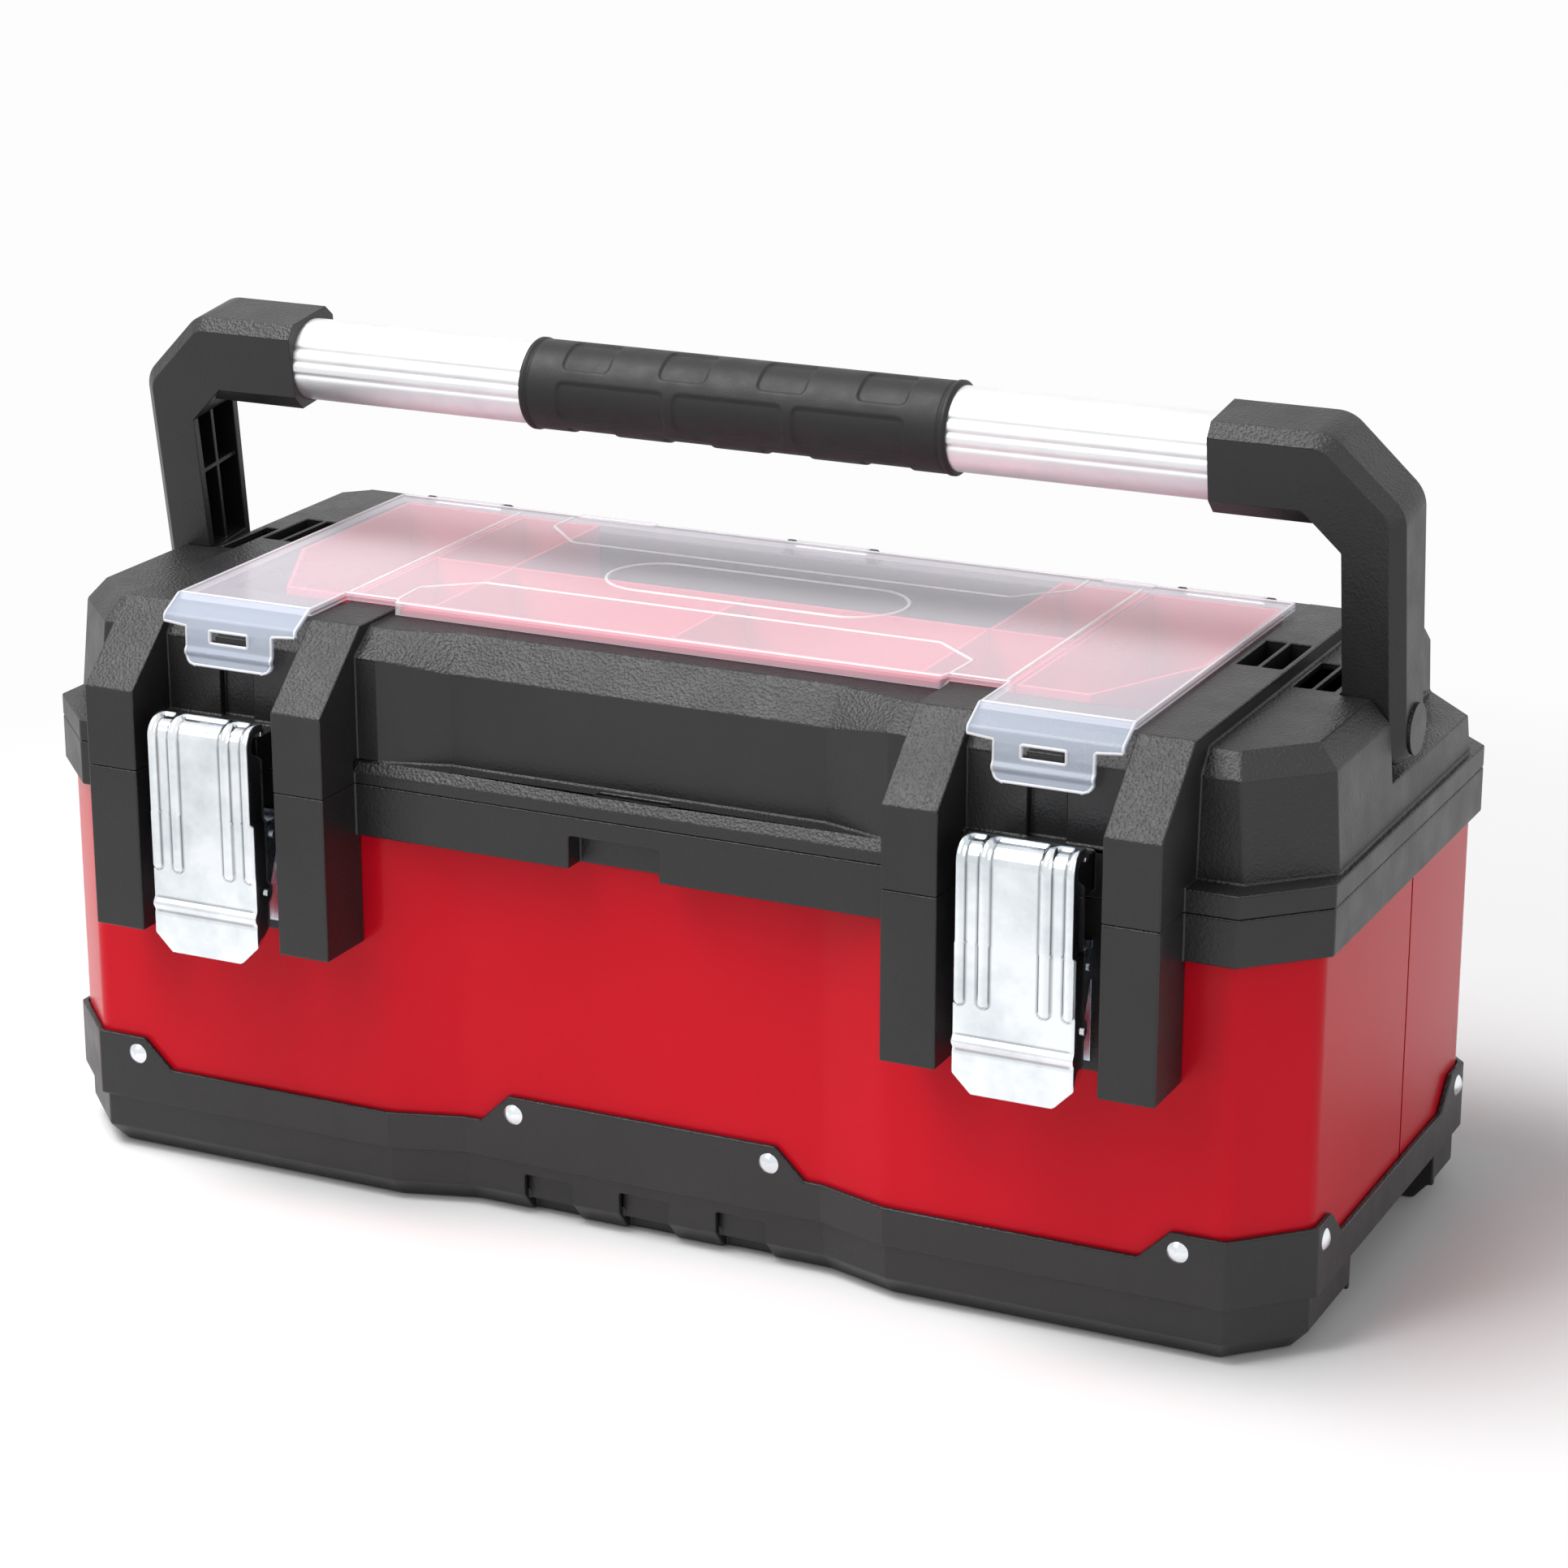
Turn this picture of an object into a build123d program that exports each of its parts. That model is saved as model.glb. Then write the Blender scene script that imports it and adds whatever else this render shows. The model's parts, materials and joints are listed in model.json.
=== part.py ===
from build123d import *
import math
import os

# Toolbox with a lift-out tray: steel tub, moulded base, rim and lid, two steel latches,
# a folding tube handle, and small-parts bins under a clear cover in the lid.
# Millimetres. X runs left to right, the front faces -Y, Z is up.
# The origin is on the resting plane, under the middle of the rim.

# ---------------------------------------------------------------- case
RIM_LENGTH = 560.0
RIM_DEPTH = 243.8
RIM_CORNER = 28.0          # leg of the cut at each plan corner
SEAM_Z = 180.8             # top of the rim, where the lid closes on it
RIM_BAND = 19.0            # height of the rim's outer skirt
RIM_LAP = 3.9              # the rim stands this far outside the steel sheet
SHEET = 1.2                # thickness of the steel sheet
SHEET_GRIP = 8.2           # length of sheet held in the rim's groove
TUB_SEAM_Y = 15.0          # where the two halves of the tub meet on the ends
TUB_SEAM_GAP = 0.6
CORNER_SHRINK = 2.0 - math.sqrt(2.0)
HALF_LENGTH = RIM_LENGTH / 2
RIM_FRONT_Y = -RIM_DEPTH / 2
RIM_REAR_Y = RIM_DEPTH / 2
RIM_LOW = SEAM_Z - RIM_BAND
SHEET_TOP = RIM_LOW + SHEET_GRIP
TUB_FRONT_Y = RIM_FRONT_Y + RIM_LAP

# ---------------------------------------------------------------- latch bays and the dent between them
BAY_IN = 104.15            # from the end of the rim to the middle of a latch bay
BAY_WIDTH = 64.7
PILLAR_WIDTH = 22.9
BAY_X = HALF_LENGTH - BAY_IN
STRIP_INNER_X = BAY_X + BAY_WIDTH / 2
STRIP_OUTER_X = STRIP_INNER_X + PILLAR_WIDTH
PANEL_HALF = BAY_X - (BAY_WIDTH + PILLAR_WIDTH) / 2
APRON_HALF = BAY_X - BAY_WIDTH / 2 - PILLAR_WIDTH

DENT_DEPTH = 9.5           # shallow dent in the middle of the front
DENT_MARGIN = 9.6          # from an inner pillar to the dent
DENT_SLOPE = 31.0
DENT_OUTER = APRON_HALF - DENT_MARGIN
DENT_INNER = DENT_OUTER - DENT_SLOPE

# ---------------------------------------------------------------- base
FLANGE_LOW = 24.0
FLANGE_BAND = 16.0
TAB_RISE = 12.5            # the riveted tabs stand this far above the flange
TAB_SLOPE = 13.0
FLANGE_WALL = 2.6
SHEET_LEDGE = 3.0          # thickness of the ledge that the tub stands on
BASE_STEP = 3.0            # the lower base is set in from the flange by this
BASE_WALL = 3.0
BASE_BEVEL_Z = 9.0
BASE_BEVEL = 8.0
FLOOR_LOW = 6.5
FLOOR_SHEET = 3.5
REST_PAD_X = 60.0          # pad under the middle of the floor
REST_PAD_Y = 30.0
MID_TAB_IN = 20.0          # from the foot of the dent's slope to the middle tab
CORNER_TAB_IN = 51.0
SIDE_TAB_IN = 44.9
FOOT_INSET = 30.0          # depth of the hollow between the feet on each end
FOOT_GAP_FRONT = -42.0
FOOT_GAP_REAR = 66.0
RIB_NOTCH_WIDTH = 22.0
RIB_NOTCH_PITCH = 43.5
RIB_NOTCH_HIGH = 18.0
RIB_NOTCH_DEPTH = 4.0
FLANGE_HIGH = FLANGE_LOW + FLANGE_BAND
TAB_HIGH = FLANGE_HIGH + TAB_RISE
SHEET_FOOT = FLANGE_LOW + SHEET_LEDGE
FLOOR_HIGH = FLOOR_LOW + FLOOR_SHEET
FLANGE_INSET = RIM_LAP - FLANGE_WALL
BASE_INSET = FLANGE_INSET + BASE_STEP
MID_TAB_HALF = DENT_INNER - MID_TAB_IN
MID_TAB_FOOT = MID_TAB_HALF + TAB_SLOPE
CORNER_TAB_TOP = HALF_LENGTH - CORNER_TAB_IN
CORNER_TAB_FOOT = CORNER_TAB_TOP - TAB_SLOPE
SIDE_TAB_TOP = RIM_REAR_Y - SIDE_TAB_IN
SIDE_TAB_FOOT = SIDE_TAB_TOP - TAB_SLOPE

RIVET_HEAD_R = 4.3
RIVET_HEAD_H = 1.8
RIVET_SHANK_R = 2.0
RIVET_DROP = 7.5           # rivets sit this far below the tops of the tabs
RIVET_MID_IN = 2.5
RIVET_CORNER_OUT = 3.4
RIVET_SIDE_OUT = 8.0
RIVET_Z = TAB_HIGH - RIVET_DROP
RIVET_MID_X = MID_TAB_HALF - RIVET_MID_IN
RIVET_CORNER_X = CORNER_TAB_TOP + RIVET_CORNER_OUT
RIVET_SIDE_Y = SIDE_TAB_TOP + RIVET_SIDE_OUT

# ---------------------------------------------------------------- tray ledge and tray
LEDGE_DROP = 8.8
LEDGE_INSET = 17.0
MOUTH_INSET = 10.0
TRAY_GAP = 0.8
TRAY_BODY_GAP = 1.3        # between the tray's body and the edge of the ledge
TRAY_REAR_IN = 64.9        # the tray leaves this much of the case open behind it
TRAY_FLANGE = 3.0
TRAY_DEPTH = 60.0
TRAY_WALL = 2.4
TRAY_DIVIDER_X = 95.0
TRAY_GRIP_LENGTH = 110.0
TRAY_GRIP_SLOT = 24.0
TRAY_GRIP_BAR = 12.0
TRAY_GRIP_WALL = 9.0
LEDGE_Z = SEAM_Z - LEDGE_DROP
TRAY_TOP = LEDGE_Z + TRAY_FLANGE
TRAY_REAR_Y = RIM_REAR_Y - TRAY_REAR_IN

# ---------------------------------------------------------------- lid heights
LID_FLANGE_H = 9.2
LID_HEIGHT = 61.2          # from the seam to the deck round the well
STRIP_RISE = 2.2
BLOCK_DROP = 4.0           # the lid's ends are lower than its deck by this
BLOCK_BEVEL = 8.0
BLOCK_BEVEL_H = 9.0
WELL_DEPTH = 37.0
LID_FLANGE_TOP = SEAM_Z + LID_FLANGE_H
DECK_TOP = SEAM_Z + LID_HEIGHT
STRIP_TOP = DECK_TOP + STRIP_RISE
BLOCK_TOP = DECK_TOP - BLOCK_DROP
BLOCK_BEVEL_Z = BLOCK_TOP - BLOCK_BEVEL_H
WELL_FLOOR = DECK_TOP - WELL_DEPTH

# ---------------------------------------------------------------- pillars beside the latches
PILLAR_PROUD = 24.6        # the pillars stand this far in front of the rim
PILLAR_DROP = 49.4         # and hang this far below it
PILLAR_KNEE = 33.3
PILLAR_WALL = 2.6
RIM_APRON = 2.8            # the middle of the front hangs lower by this
RIM_NOTCH_LEFT = -24.0
RIM_NOTCH_RIGHT = 15.5
RIM_NOTCH_RISE = 10.8
PILLAR_FRONT_Y = RIM_FRONT_Y - PILLAR_PROUD
PILLAR_LOW = RIM_LOW - PILLAR_DROP
PILLAR_KNEE_Z = SEAM_Z + PILLAR_KNEE
RIM_NOTCH_TOP = RIM_LOW + RIM_NOTCH_RISE

# ---------------------------------------------------------------- lid
LID_STEP_X = 6.0           # the lid's ends are set in from the rim by this
LID_STEP_Y = 13.9          # and its rear by this
LID_CORNER = 27.5
LID_DRAFT = 3.2            # the ends spread outwards by this at their foot
LID_DRAFT_Y = 2.0          # and the front and rear by this
LID_WALL = 3.0
PANEL_STEP = 11.4          # the front panel's foot is set back from the rim by this
PANEL_END_STEP = 2.9
PANEL_LEAN = 11.5          # run of the bevel along its top
PANEL_END_LEAN = 13.0
PANEL_BEVEL_H = 14.0
PANEL_END_BEVEL_H = 9.5
PANEL_SLOPE = 29.0
PANEL_BROW = 4.4           # bevel along the front edge of the lid's flange
PANEL_BROW_Y = 3.2
BAY_STEP = 1.9
BAY_LEAN = 10.0
BAY_BEVEL_H = 10.5
BAY_LEDGE_RISE = 10.0
BAY_CHANNEL = 15.4
BAY_CHANNEL_DEPTH = 3.5
BAY_POCKET = 6.5
PILLAR_TOP_STEP = 3.7
CATCH_SIDE_GAP = 12.35
CATCH_REACH = 15.7
CATCH_RISE = 3.2
CATCH_TOP_GAP = 0.5
LID_SLOT_HALF = 16.0
LID_SLOT_X = 2.0
LID_SLOT_WIDTH = 4.5
LID_HALF_X = HALF_LENGTH - LID_STEP_X
LID_HALF_Y = RIM_DEPTH / 2 - LID_STEP_Y
PANEL_WALL_Y = RIM_FRONT_Y + PANEL_STEP
PANEL_END_Y = RIM_FRONT_Y + PANEL_END_STEP
PANEL_BEVEL_Z = DECK_TOP - PANEL_BEVEL_H
PANEL_END_BEVEL_Z = DECK_TOP - PANEL_END_BEVEL_H
PANEL_TOP_Y = PANEL_WALL_Y + PANEL_LEAN
PANEL_END_TOP_Y = PANEL_END_Y + PANEL_END_LEAN
PANEL_OUT_X = DENT_OUTER
PANEL_IN_X = PANEL_OUT_X - PANEL_SLOPE
BAY_WALL_Y = RIM_FRONT_Y + BAY_STEP
BAY_TOP_Y = BAY_WALL_Y + BAY_LEAN
BAY_LEDGE_Z = LID_FLANGE_TOP + BAY_LEDGE_RISE
BAY_BEVEL_Z = DECK_TOP - BAY_BEVEL_H
PILLAR_TOP_Y = BAY_TOP_Y - PILLAR_TOP_STEP
CATCH_HALF = BAY_WIDTH / 2 - CATCH_SIDE_GAP
CATCH_FRONT_Y = RIM_FRONT_Y - CATCH_REACH
CATCH_LOW = SEAM_Z + CATCH_RISE
CATCH_HIGH = BAY_LEDGE_Z - CATCH_TOP_GAP

WELL_MARGIN = 5.2          # from the well to the strip beside it
WELL_FRONT_IN = 42.4
WELL_REAR_IN = 57.9
WELL_HALF_X = STRIP_INNER_X - WELL_MARGIN
WELL_FRONT_Y = RIM_FRONT_Y + WELL_FRONT_IN
WELL_REAR_Y = RIM_REAR_Y - WELL_REAR_IN

# ---------------------------------------------------------------- hinges of the lid and the cover
HINGE_R = 6.5
HINGE_OFFSET = 1.1
HINGE_PIN_R = 2.5
RUN_GAP = 0.05             # running clearance of a pin in its bore
HINGE_IN = 110.0
HINGE_KNUCKLE = 30.0
KNUCKLE_GAP = 0.5
COVER_KNUCKLE_R = 3.4
COVER_PIN_R = 1.5
COVER_KNUCKLE = 33.0
COVER_LUG = 5.0
COVER_AXIS_BACK = 7.0      # the cover turns this far behind the well
COVER_AXIS_UP = 1.6
DECK_BEHIND = 5.8
STRIP_BEHIND = 2.6
HINGE_Y = RIM_REAR_Y + HINGE_R + HINGE_OFFSET
HINGE_X = HALF_LENGTH - HINGE_IN
COVER_HINGE_X = BAY_X
COVER_AXIS_Y = WELL_REAR_Y + COVER_AXIS_BACK
COVER_AXIS_Z = DECK_TOP + COVER_AXIS_UP
DECK_REAR_Y = COVER_AXIS_Y + DECK_BEHIND
STRIP_REAR_Y = DECK_REAR_Y + STRIP_BEHIND

# ---------------------------------------------------------------- clear cover
COVER_LIFT = 3.2           # the cover lies this far above the deck
COVER_SHEET = 2.2
COVER_GAP = 1.2            # between the cover and the strips or pillars beside it
COVER_OVERLAP = 3.5
TONGUE_OVER = 1.5
TAB_GAP = 3.2
LIP_SET = 0.4
LIP_DROP = 8.8
TAB_HALF = 20.5
TAB_SHEET = 1.8
TAB_DROP = 12.9
WINDOW_HALF = 8.5
WINDOW_RISE = 7.5
WINDOW_H = 4.6
NUB_GAP = 0.45
COVER_HALF_X = STRIP_INNER_X - COVER_GAP
COVER_LOW = DECK_TOP + COVER_LIFT
COVER_TOP = COVER_LOW + COVER_SHEET
COVER_FRONT_Y = WELL_FRONT_Y - COVER_OVERLAP
COVER_REAR_Y = WELL_REAR_Y + COVER_OVERLAP
TONGUE_INNER_X = BAY_X - BAY_WIDTH / 2 + COVER_GAP
TONGUE_FRONT_Y = BAY_TOP_Y - TONGUE_OVER
TAB_BACK_Y = BAY_WALL_Y - TAB_GAP
LIP_FRONT_Y = TAB_BACK_Y + LIP_SET
LIP_LOW = COVER_LOW - LIP_DROP
TAB_LOW = LIP_LOW - TAB_DROP
WINDOW_LOW = TAB_LOW + WINDOW_RISE
WINDOW_HIGH = WINDOW_LOW + WINDOW_H

# ---------------------------------------------------------------- bins in the lid
BIN_TOP_GAP = 0.2
BIN_GAP = 0.5
BIN_WALL = 1.6
SIDE_BIN = 57.5
REAR_POCKET = 38.5
BIN_ROW_DEPTH = 67.5
BIN_CUT_X = 26.0
BIN_CUT_Y = 54.0
BIN_TOP = COVER_LOW - BIN_TOP_GAP
BIN_SPLIT_X = WELL_HALF_X - SIDE_BIN
BIN_ROW_X = BIN_SPLIT_X - REAR_POCKET
BIN_ROW_Y = WELL_FRONT_Y + BIN_ROW_DEPTH

# ---------------------------------------------------------------- handle
ARM_SET_IN = 2.0           # the arms stop this far short of the rim's ends
ARM_WIDTH = 24.0
ARM_REACH = 76.5           # length of an arm's head along the tube
ARM_SIDE_GAP = 0.8
PIVOT_Y = 1.2
PIVOT_DROP = 19.2
LEAN = 7.2                 # the handle leans forward against the lid
ARM_FOOT_HALF = 15.5
ARM_FOOT_FLAT = 3.0        # the round foot is cut flat by this
TUBE_S = 102.3             # height of the tube above the pivot, along the arm
TUBE_R = 17.0
TUBE_WALL = 1.6
TUBE_INSERT = 34.0
TUBE_GROOVE_R = 1.1
TUBE_GROOVE_ANGLES = (24.0, 8.0, -8.0)
HEAD_SIDE = 1.2            # plastic beside, over and under the tube in an arm's head
HEAD_OVER = 1.9
HEAD_UNDER = 1.2
ARM_SLOPE_RISE = 8.3
ARM_SLOPE_RUN = 29.2
ARM_SHOULDER_R = 14.0      # rounds both ends of the slope
ARM_CROTCH = 8.8
ARM_BEVEL = 5.2
ARM_UNDER_BEVEL = 6.4      # height of the bevel under a head, cut as deep as ARM_BEVEL
ARM_WALL = 3.6
ARM_RIB = 2.0
GRIP_HALF = 94.0
GRIP_WALL = 1.5
GRIP_COLLAR_RISE = 0.4
GRIP_COLLAR = 3.0
PIVOT_PIN_R = 5.0
PIVOT_CAP_R = 10.2
PIVOT_CAP_H = 1.4
PIVOT_HEAD_WALL = 3.0
PIVOT_HEAD_H = 3.0
PIVOT_BOSS = 10.0
RECESS_FRONT_GAP = 2.5
RECESS_UNDER_GAP = 3.5
RECESS_FALL = 1.2
VENT_FRONT_Y = -14.0
VENT_REAR_Y = 22.0
VENT_RIB = 1.8
VENT_MARGIN = 2.2
VENT_RECESS_GAP = 3.2
ARM_OUTER_X = HALF_LENGTH - ARM_SET_IN
ARM_INNER_X = ARM_OUTER_X - ARM_WIDTH
ARM_END_X = ARM_OUTER_X - ARM_REACH
ARM_SLOPE_X = ARM_OUTER_X - ARM_SLOPE_RUN
ARM_FOOT_LOW = ARM_FOOT_HALF - ARM_FOOT_FLAT
ARM_HEAD_HALF = TUBE_R + HEAD_SIDE
ARM_HEAD_LOW = TUBE_S - TUBE_R - HEAD_UNDER
ARM_HEAD_HIGH = TUBE_S + TUBE_R + HEAD_OVER
ARM_SLOPE_LOW = ARM_HEAD_LOW + ARM_SLOPE_RISE
GRIP_R = TUBE_R + GRIP_WALL
GRIP_COLLAR_R = GRIP_R + GRIP_COLLAR_RISE
PIVOT_Z = DECK_TOP - PIVOT_DROP
PIVOT_HEAD_R = PIVOT_PIN_R + PIVOT_HEAD_WALL
RECESS_X = ARM_INNER_X - ARM_SIDE_GAP
RECESS_FRONT_Y = PIVOT_Y - ARM_FOOT_HALF - RECESS_FRONT_GAP
RECESS_INNER_Z = PIVOT_Z - ARM_FOOT_LOW - RECESS_UNDER_GAP
RECESS_OUTER_Z = RECESS_INNER_Z - RECESS_FALL
VENT_OUTER_X = RECESS_X - VENT_RECESS_GAP

# ---------------------------------------------------------------- latches
LEVER_PROUD = 3.0          # the lever's plate stands this far in front of the pillars
LEVER_SHEET = 1.5
LEVER_SIDE_GAP = 7.85      # between the lever and the pillars
LEVER_BELOW = 5.4          # the lever hangs this far below the pillars
LEVER_CUT = 7.5
LEVER_FLANGE_RISE = 11.0
LEVER_FLANGE_DEPTH = 10.0
LEVER_CURL_H = 7.0
LEVER_CURL_OVER = 5.0
LEVER_TIP_GAP = 0.4
LEVER_BEAD_RISE = 20.0
LEVER_BEAD_R = 1.8
LEVER_RIB_RISE = 35.0
LEVER_RIB_IN = (12.4, 2.6)
LEVER_RIB_WIDTH = 4.2
LEVER_RIB_H = 1.2
LINK_IN = 1.9
LINK_SHEET = 1.4
LINK_EYE_R = 4.6
LINK_WEB_HALF = 6.0
BRACKET_IN = 2.0
BRACKET_SHEET = 1.4
BRACKET_RISE = 4.6
BRACKET_OVER = 3.2
BRACKET_EYE_R = 4.2
BRACKET_PIN_OUT = 10.6     # from the rim to the axis of the bracket's pin
BRACKET_PIN_DROP = 7.0
LEVER_PIN_BACK = 8.5       # from the lever's plate to the axis of its pin
LEVER_PIN_DROP = 22.0
LATCH_PIN_R = 1.7
LATCH_PIN_OVER = 0.9
LEVER_EAR_R = 4.6
LEVER_FRONT_Y = PILLAR_FRONT_Y - LEVER_PROUD
LEVER_HALF = BAY_WIDTH / 2 - LEVER_SIDE_GAP
LEVER_LOW = PILLAR_LOW - LEVER_BELOW
LEVER_FLANGE_LOW = LEVER_LOW + LEVER_FLANGE_RISE
LEVER_CURL_TOP = BAY_LEDGE_Z + LEVER_CURL_OVER
LEVER_CURL_LOW = LEVER_CURL_TOP - LEVER_CURL_H
LEVER_TIP_Y = CATCH_FRONT_Y - LEVER_TIP_GAP
LEVER_BEAD_Z = LEVER_LOW + LEVER_BEAD_RISE
LEVER_RIB_LOW = LEVER_LOW + LEVER_RIB_RISE
LINK_HALF = LEVER_HALF - LINK_IN
BRACKET_HALF = LINK_HALF - BRACKET_IN
BRACKET_LOW = PILLAR_LOW + BRACKET_RISE
BRACKET_HIGH = RIM_LOW + BRACKET_OVER
BRACKET_Y = RIM_FRONT_Y - BRACKET_PIN_OUT
BRACKET_Z = BRACKET_HIGH - BRACKET_PIN_DROP
LEVER_AXIS_Y = LEVER_FRONT_Y + LEVER_PIN_BACK
LEVER_AXIS_Z = BRACKET_Z - LEVER_PIN_DROP

# ---------------------------------------------------------------- lists of places
SIDES = (-1, 1)
PILLARS = [side * (BAY_X + step * (BAY_WIDTH + PILLAR_WIDTH) / 2) for side in SIDES for step in (-1, 1)]
BAYS = {"left": -BAY_X, "right": BAY_X}


# ---------------------------------------------------------------- helpers
def prism(outline, low, high, plane=Plane.XY):
    """Straight prism of a closed outline between two values of the plane's own axis."""
    start = -high if plane == Plane.XZ else low
    face = make_face(Polyline(*outline, close=True))
    return extrude(plane.offset(start) * face, amount=high - low)


def block(x0, x1, y0, y1, z0, z1):
    size = (x1 - x0, y1 - y0, z1 - z0)
    return Pos((x0 + x1) / 2, (y0 + y1) / 2, (z0 + z1) / 2) * Box(*size)


def rod(radius, x0, x1, y, z):
    """Round bar along X."""
    return Pos((x0 + x1) / 2, y, z) * Rot(0, 90, 0) * Cylinder(radius, x1 - x0)


def span(side, a, b):
    """The stretch from a to b, mirrored to the left side when side is -1."""
    return (a, b) if side > 0 else (-b, -a)


def plan(half_x, half_y, corner, dent=0.0):
    """Plan outline with cut corners and, if asked, a dent in the middle of the front."""
    front = [(-half_x, corner - half_y), (corner - half_x, -half_y)]
    if dent:
        front += [(-DENT_OUTER, -half_y), (-DENT_INNER, dent - half_y)]
        front += [(DENT_INNER, dent - half_y), (DENT_OUTER, -half_y)]
    front += [(half_x - corner, -half_y), (half_x, corner - half_y)]
    rear = [(half_x, half_y - corner), (half_x - corner, half_y)]
    rear += [(corner - half_x, half_y), (-half_x, half_y - corner)]
    return front + rear


def case_plan(inset, dent=0.0):
    """The rim's plan moved inwards by the same amount all round."""
    corner = RIM_CORNER - inset * CORNER_SHRINK
    return plan(RIM_LENGTH / 2 - inset, RIM_DEPTH / 2 - inset, corner, dent)


def frustum(low_outline, z0, high_outline, z1):
    """Straight-sided loft between two outlines with the same number of corners."""
    low_face = Plane.XY.offset(z0) * make_face(Polyline(*low_outline, close=True))
    high_face = Plane.XY.offset(z1) * make_face(Polyline(*high_outline, close=True))
    return loft([low_face, high_face], ruled=True)


def ring(outer, inner, low, high):
    return prism(outer, low, high) - prism(inner, low, high)


def joined(shapes):
    """Fuse a list of shapes that touch or overlap."""
    result = shapes[0]
    for shape in shapes[1:]:
        result = result + shape
    return result


# ---------------------------------------------------------------- case pieces
def rivet_places():
    """Place and outward direction of every rivet head round the base."""
    front_y = -RIM_DEPTH / 2 + FLANGE_INSET
    end_x = RIM_LENGTH / 2 - FLANGE_INSET
    places = []
    for side in SIDES:
        places.append(((side * RIVET_MID_X, front_y + DENT_DEPTH, RIVET_Z), (0, -1, 0)))
        places.append(((side * RIVET_CORNER_X, front_y, RIVET_Z), (0, -1, 0)))
        places.append(((side * RIVET_MID_X, -front_y, RIVET_Z), (0, 1, 0)))
        places.append(((side * RIVET_CORNER_X, -front_y, RIVET_Z), (0, 1, 0)))
        places.append(((side * end_x, -RIVET_SIDE_Y, RIVET_Z), (side, 0, 0)))
        places.append(((side * end_x, RIVET_SIDE_Y, RIVET_Z), (side, 0, 0)))
    return places


def rivet_shank(place, direction):
    seat = Plane(origin=place, z_dir=direction)
    return seat * Pos(0, 0, -FLANGE_WALL / 2) * Cylinder(RIVET_SHANK_R, FLANGE_WALL)


def base_shell():
    """Moulded base: floor, bevelled lower wall, riveted flange with raised tabs, feet."""
    body = prism(case_plan(FLANGE_INSET, DENT_DEPTH), FLANGE_LOW, TAB_HIGH)
    body += prism(case_plan(BASE_INSET, DENT_DEPTH), BASE_BEVEL_Z, FLANGE_LOW)
    foot = case_plan(BASE_INSET + BASE_BEVEL, DENT_DEPTH)
    body += frustum(foot, 0, case_plan(BASE_INSET, DENT_DEPTH), BASE_BEVEL_Z)
    for side in SIDES:
        gap = [(side * MID_TAB_FOOT, FLANGE_HIGH), (side * CORNER_TAB_FOOT, FLANGE_HIGH)]
        gap += [(side * CORNER_TAB_TOP, TAB_HIGH), (side * MID_TAB_HALF, TAB_HIGH)]
        body -= prism(gap, -RIM_DEPTH / 2, RIM_DEPTH / 2, Plane.XZ)
    end_gap = [(-SIDE_TAB_FOOT, FLANGE_HIGH), (SIDE_TAB_FOOT, FLANGE_HIGH)]
    end_gap += [(SIDE_TAB_TOP, TAB_HIGH), (-SIDE_TAB_TOP, TAB_HIGH)]
    body -= prism(end_gap, -RIM_LENGTH / 2, RIM_LENGTH / 2, Plane.YZ)
    body -= prism(case_plan(RIM_LAP, DENT_DEPTH), SHEET_FOOT, TAB_HIGH)
    body -= prism(case_plan(BASE_INSET + BASE_WALL, DENT_DEPTH), FLOOR_HIGH, SHEET_FOOT)
    body -= prism(case_plan(BASE_INSET + BASE_BEVEL + BASE_WALL * 2, DENT_DEPTH), 0, FLOOR_LOW)
    body += block(-REST_PAD_X, REST_PAD_X, -REST_PAD_Y, REST_PAD_Y, 0, FLOOR_LOW)
    body = base_relief(body)
    for place, direction in rivet_places():
        body -= rivet_shank(place, direction)
    return body


def base_relief(body):
    """Hollows between the feet on the ends, and the ribbed middle of the front."""
    reach = RIM_LENGTH / 2
    inner = reach - FLANGE_INSET - FOOT_INSET
    for side in SIDES:
        x0, x1 = span(side, inner, reach)
        hollow = block(x0, x1, FOOT_GAP_FRONT, FOOT_GAP_REAR, 0, FLANGE_LOW)
        wall_x0, wall_x1 = span(side, inner - BASE_WALL, reach - BASE_INSET)
        body -= hollow
        y0 = FOOT_GAP_FRONT - BASE_WALL
        y1 = FOOT_GAP_REAR + BASE_WALL
        skin = block(wall_x0, wall_x1, y0, y1, FLOOR_LOW, SHEET_FOOT)
        skin -= block(x0, x1, FOOT_GAP_FRONT, FOOT_GAP_REAR, FLOOR_LOW, FLANGE_LOW)
        body += skin
    front = -RIM_DEPTH / 2 + BASE_INSET + DENT_DEPTH
    for step in (-1, 0, 1):
        x = step * RIB_NOTCH_PITCH
        half = RIB_NOTCH_WIDTH / 2
        body -= block(x - half, x + half, front - 1, front + RIB_NOTCH_DEPTH, BASE_BEVEL_Z, RIB_NOTCH_HIGH)
        body -= block(x - half, x + half, front - 1, front + BASE_BEVEL + 2, 0, BASE_BEVEL_Z)
        body += block(x - half - 1, x + half + 1, front + RIB_NOTCH_DEPTH, front + BASE_BEVEL + BASE_WALL * 2,
                      FLOOR_LOW, RIB_NOTCH_HIGH + 1)
    return body


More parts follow.
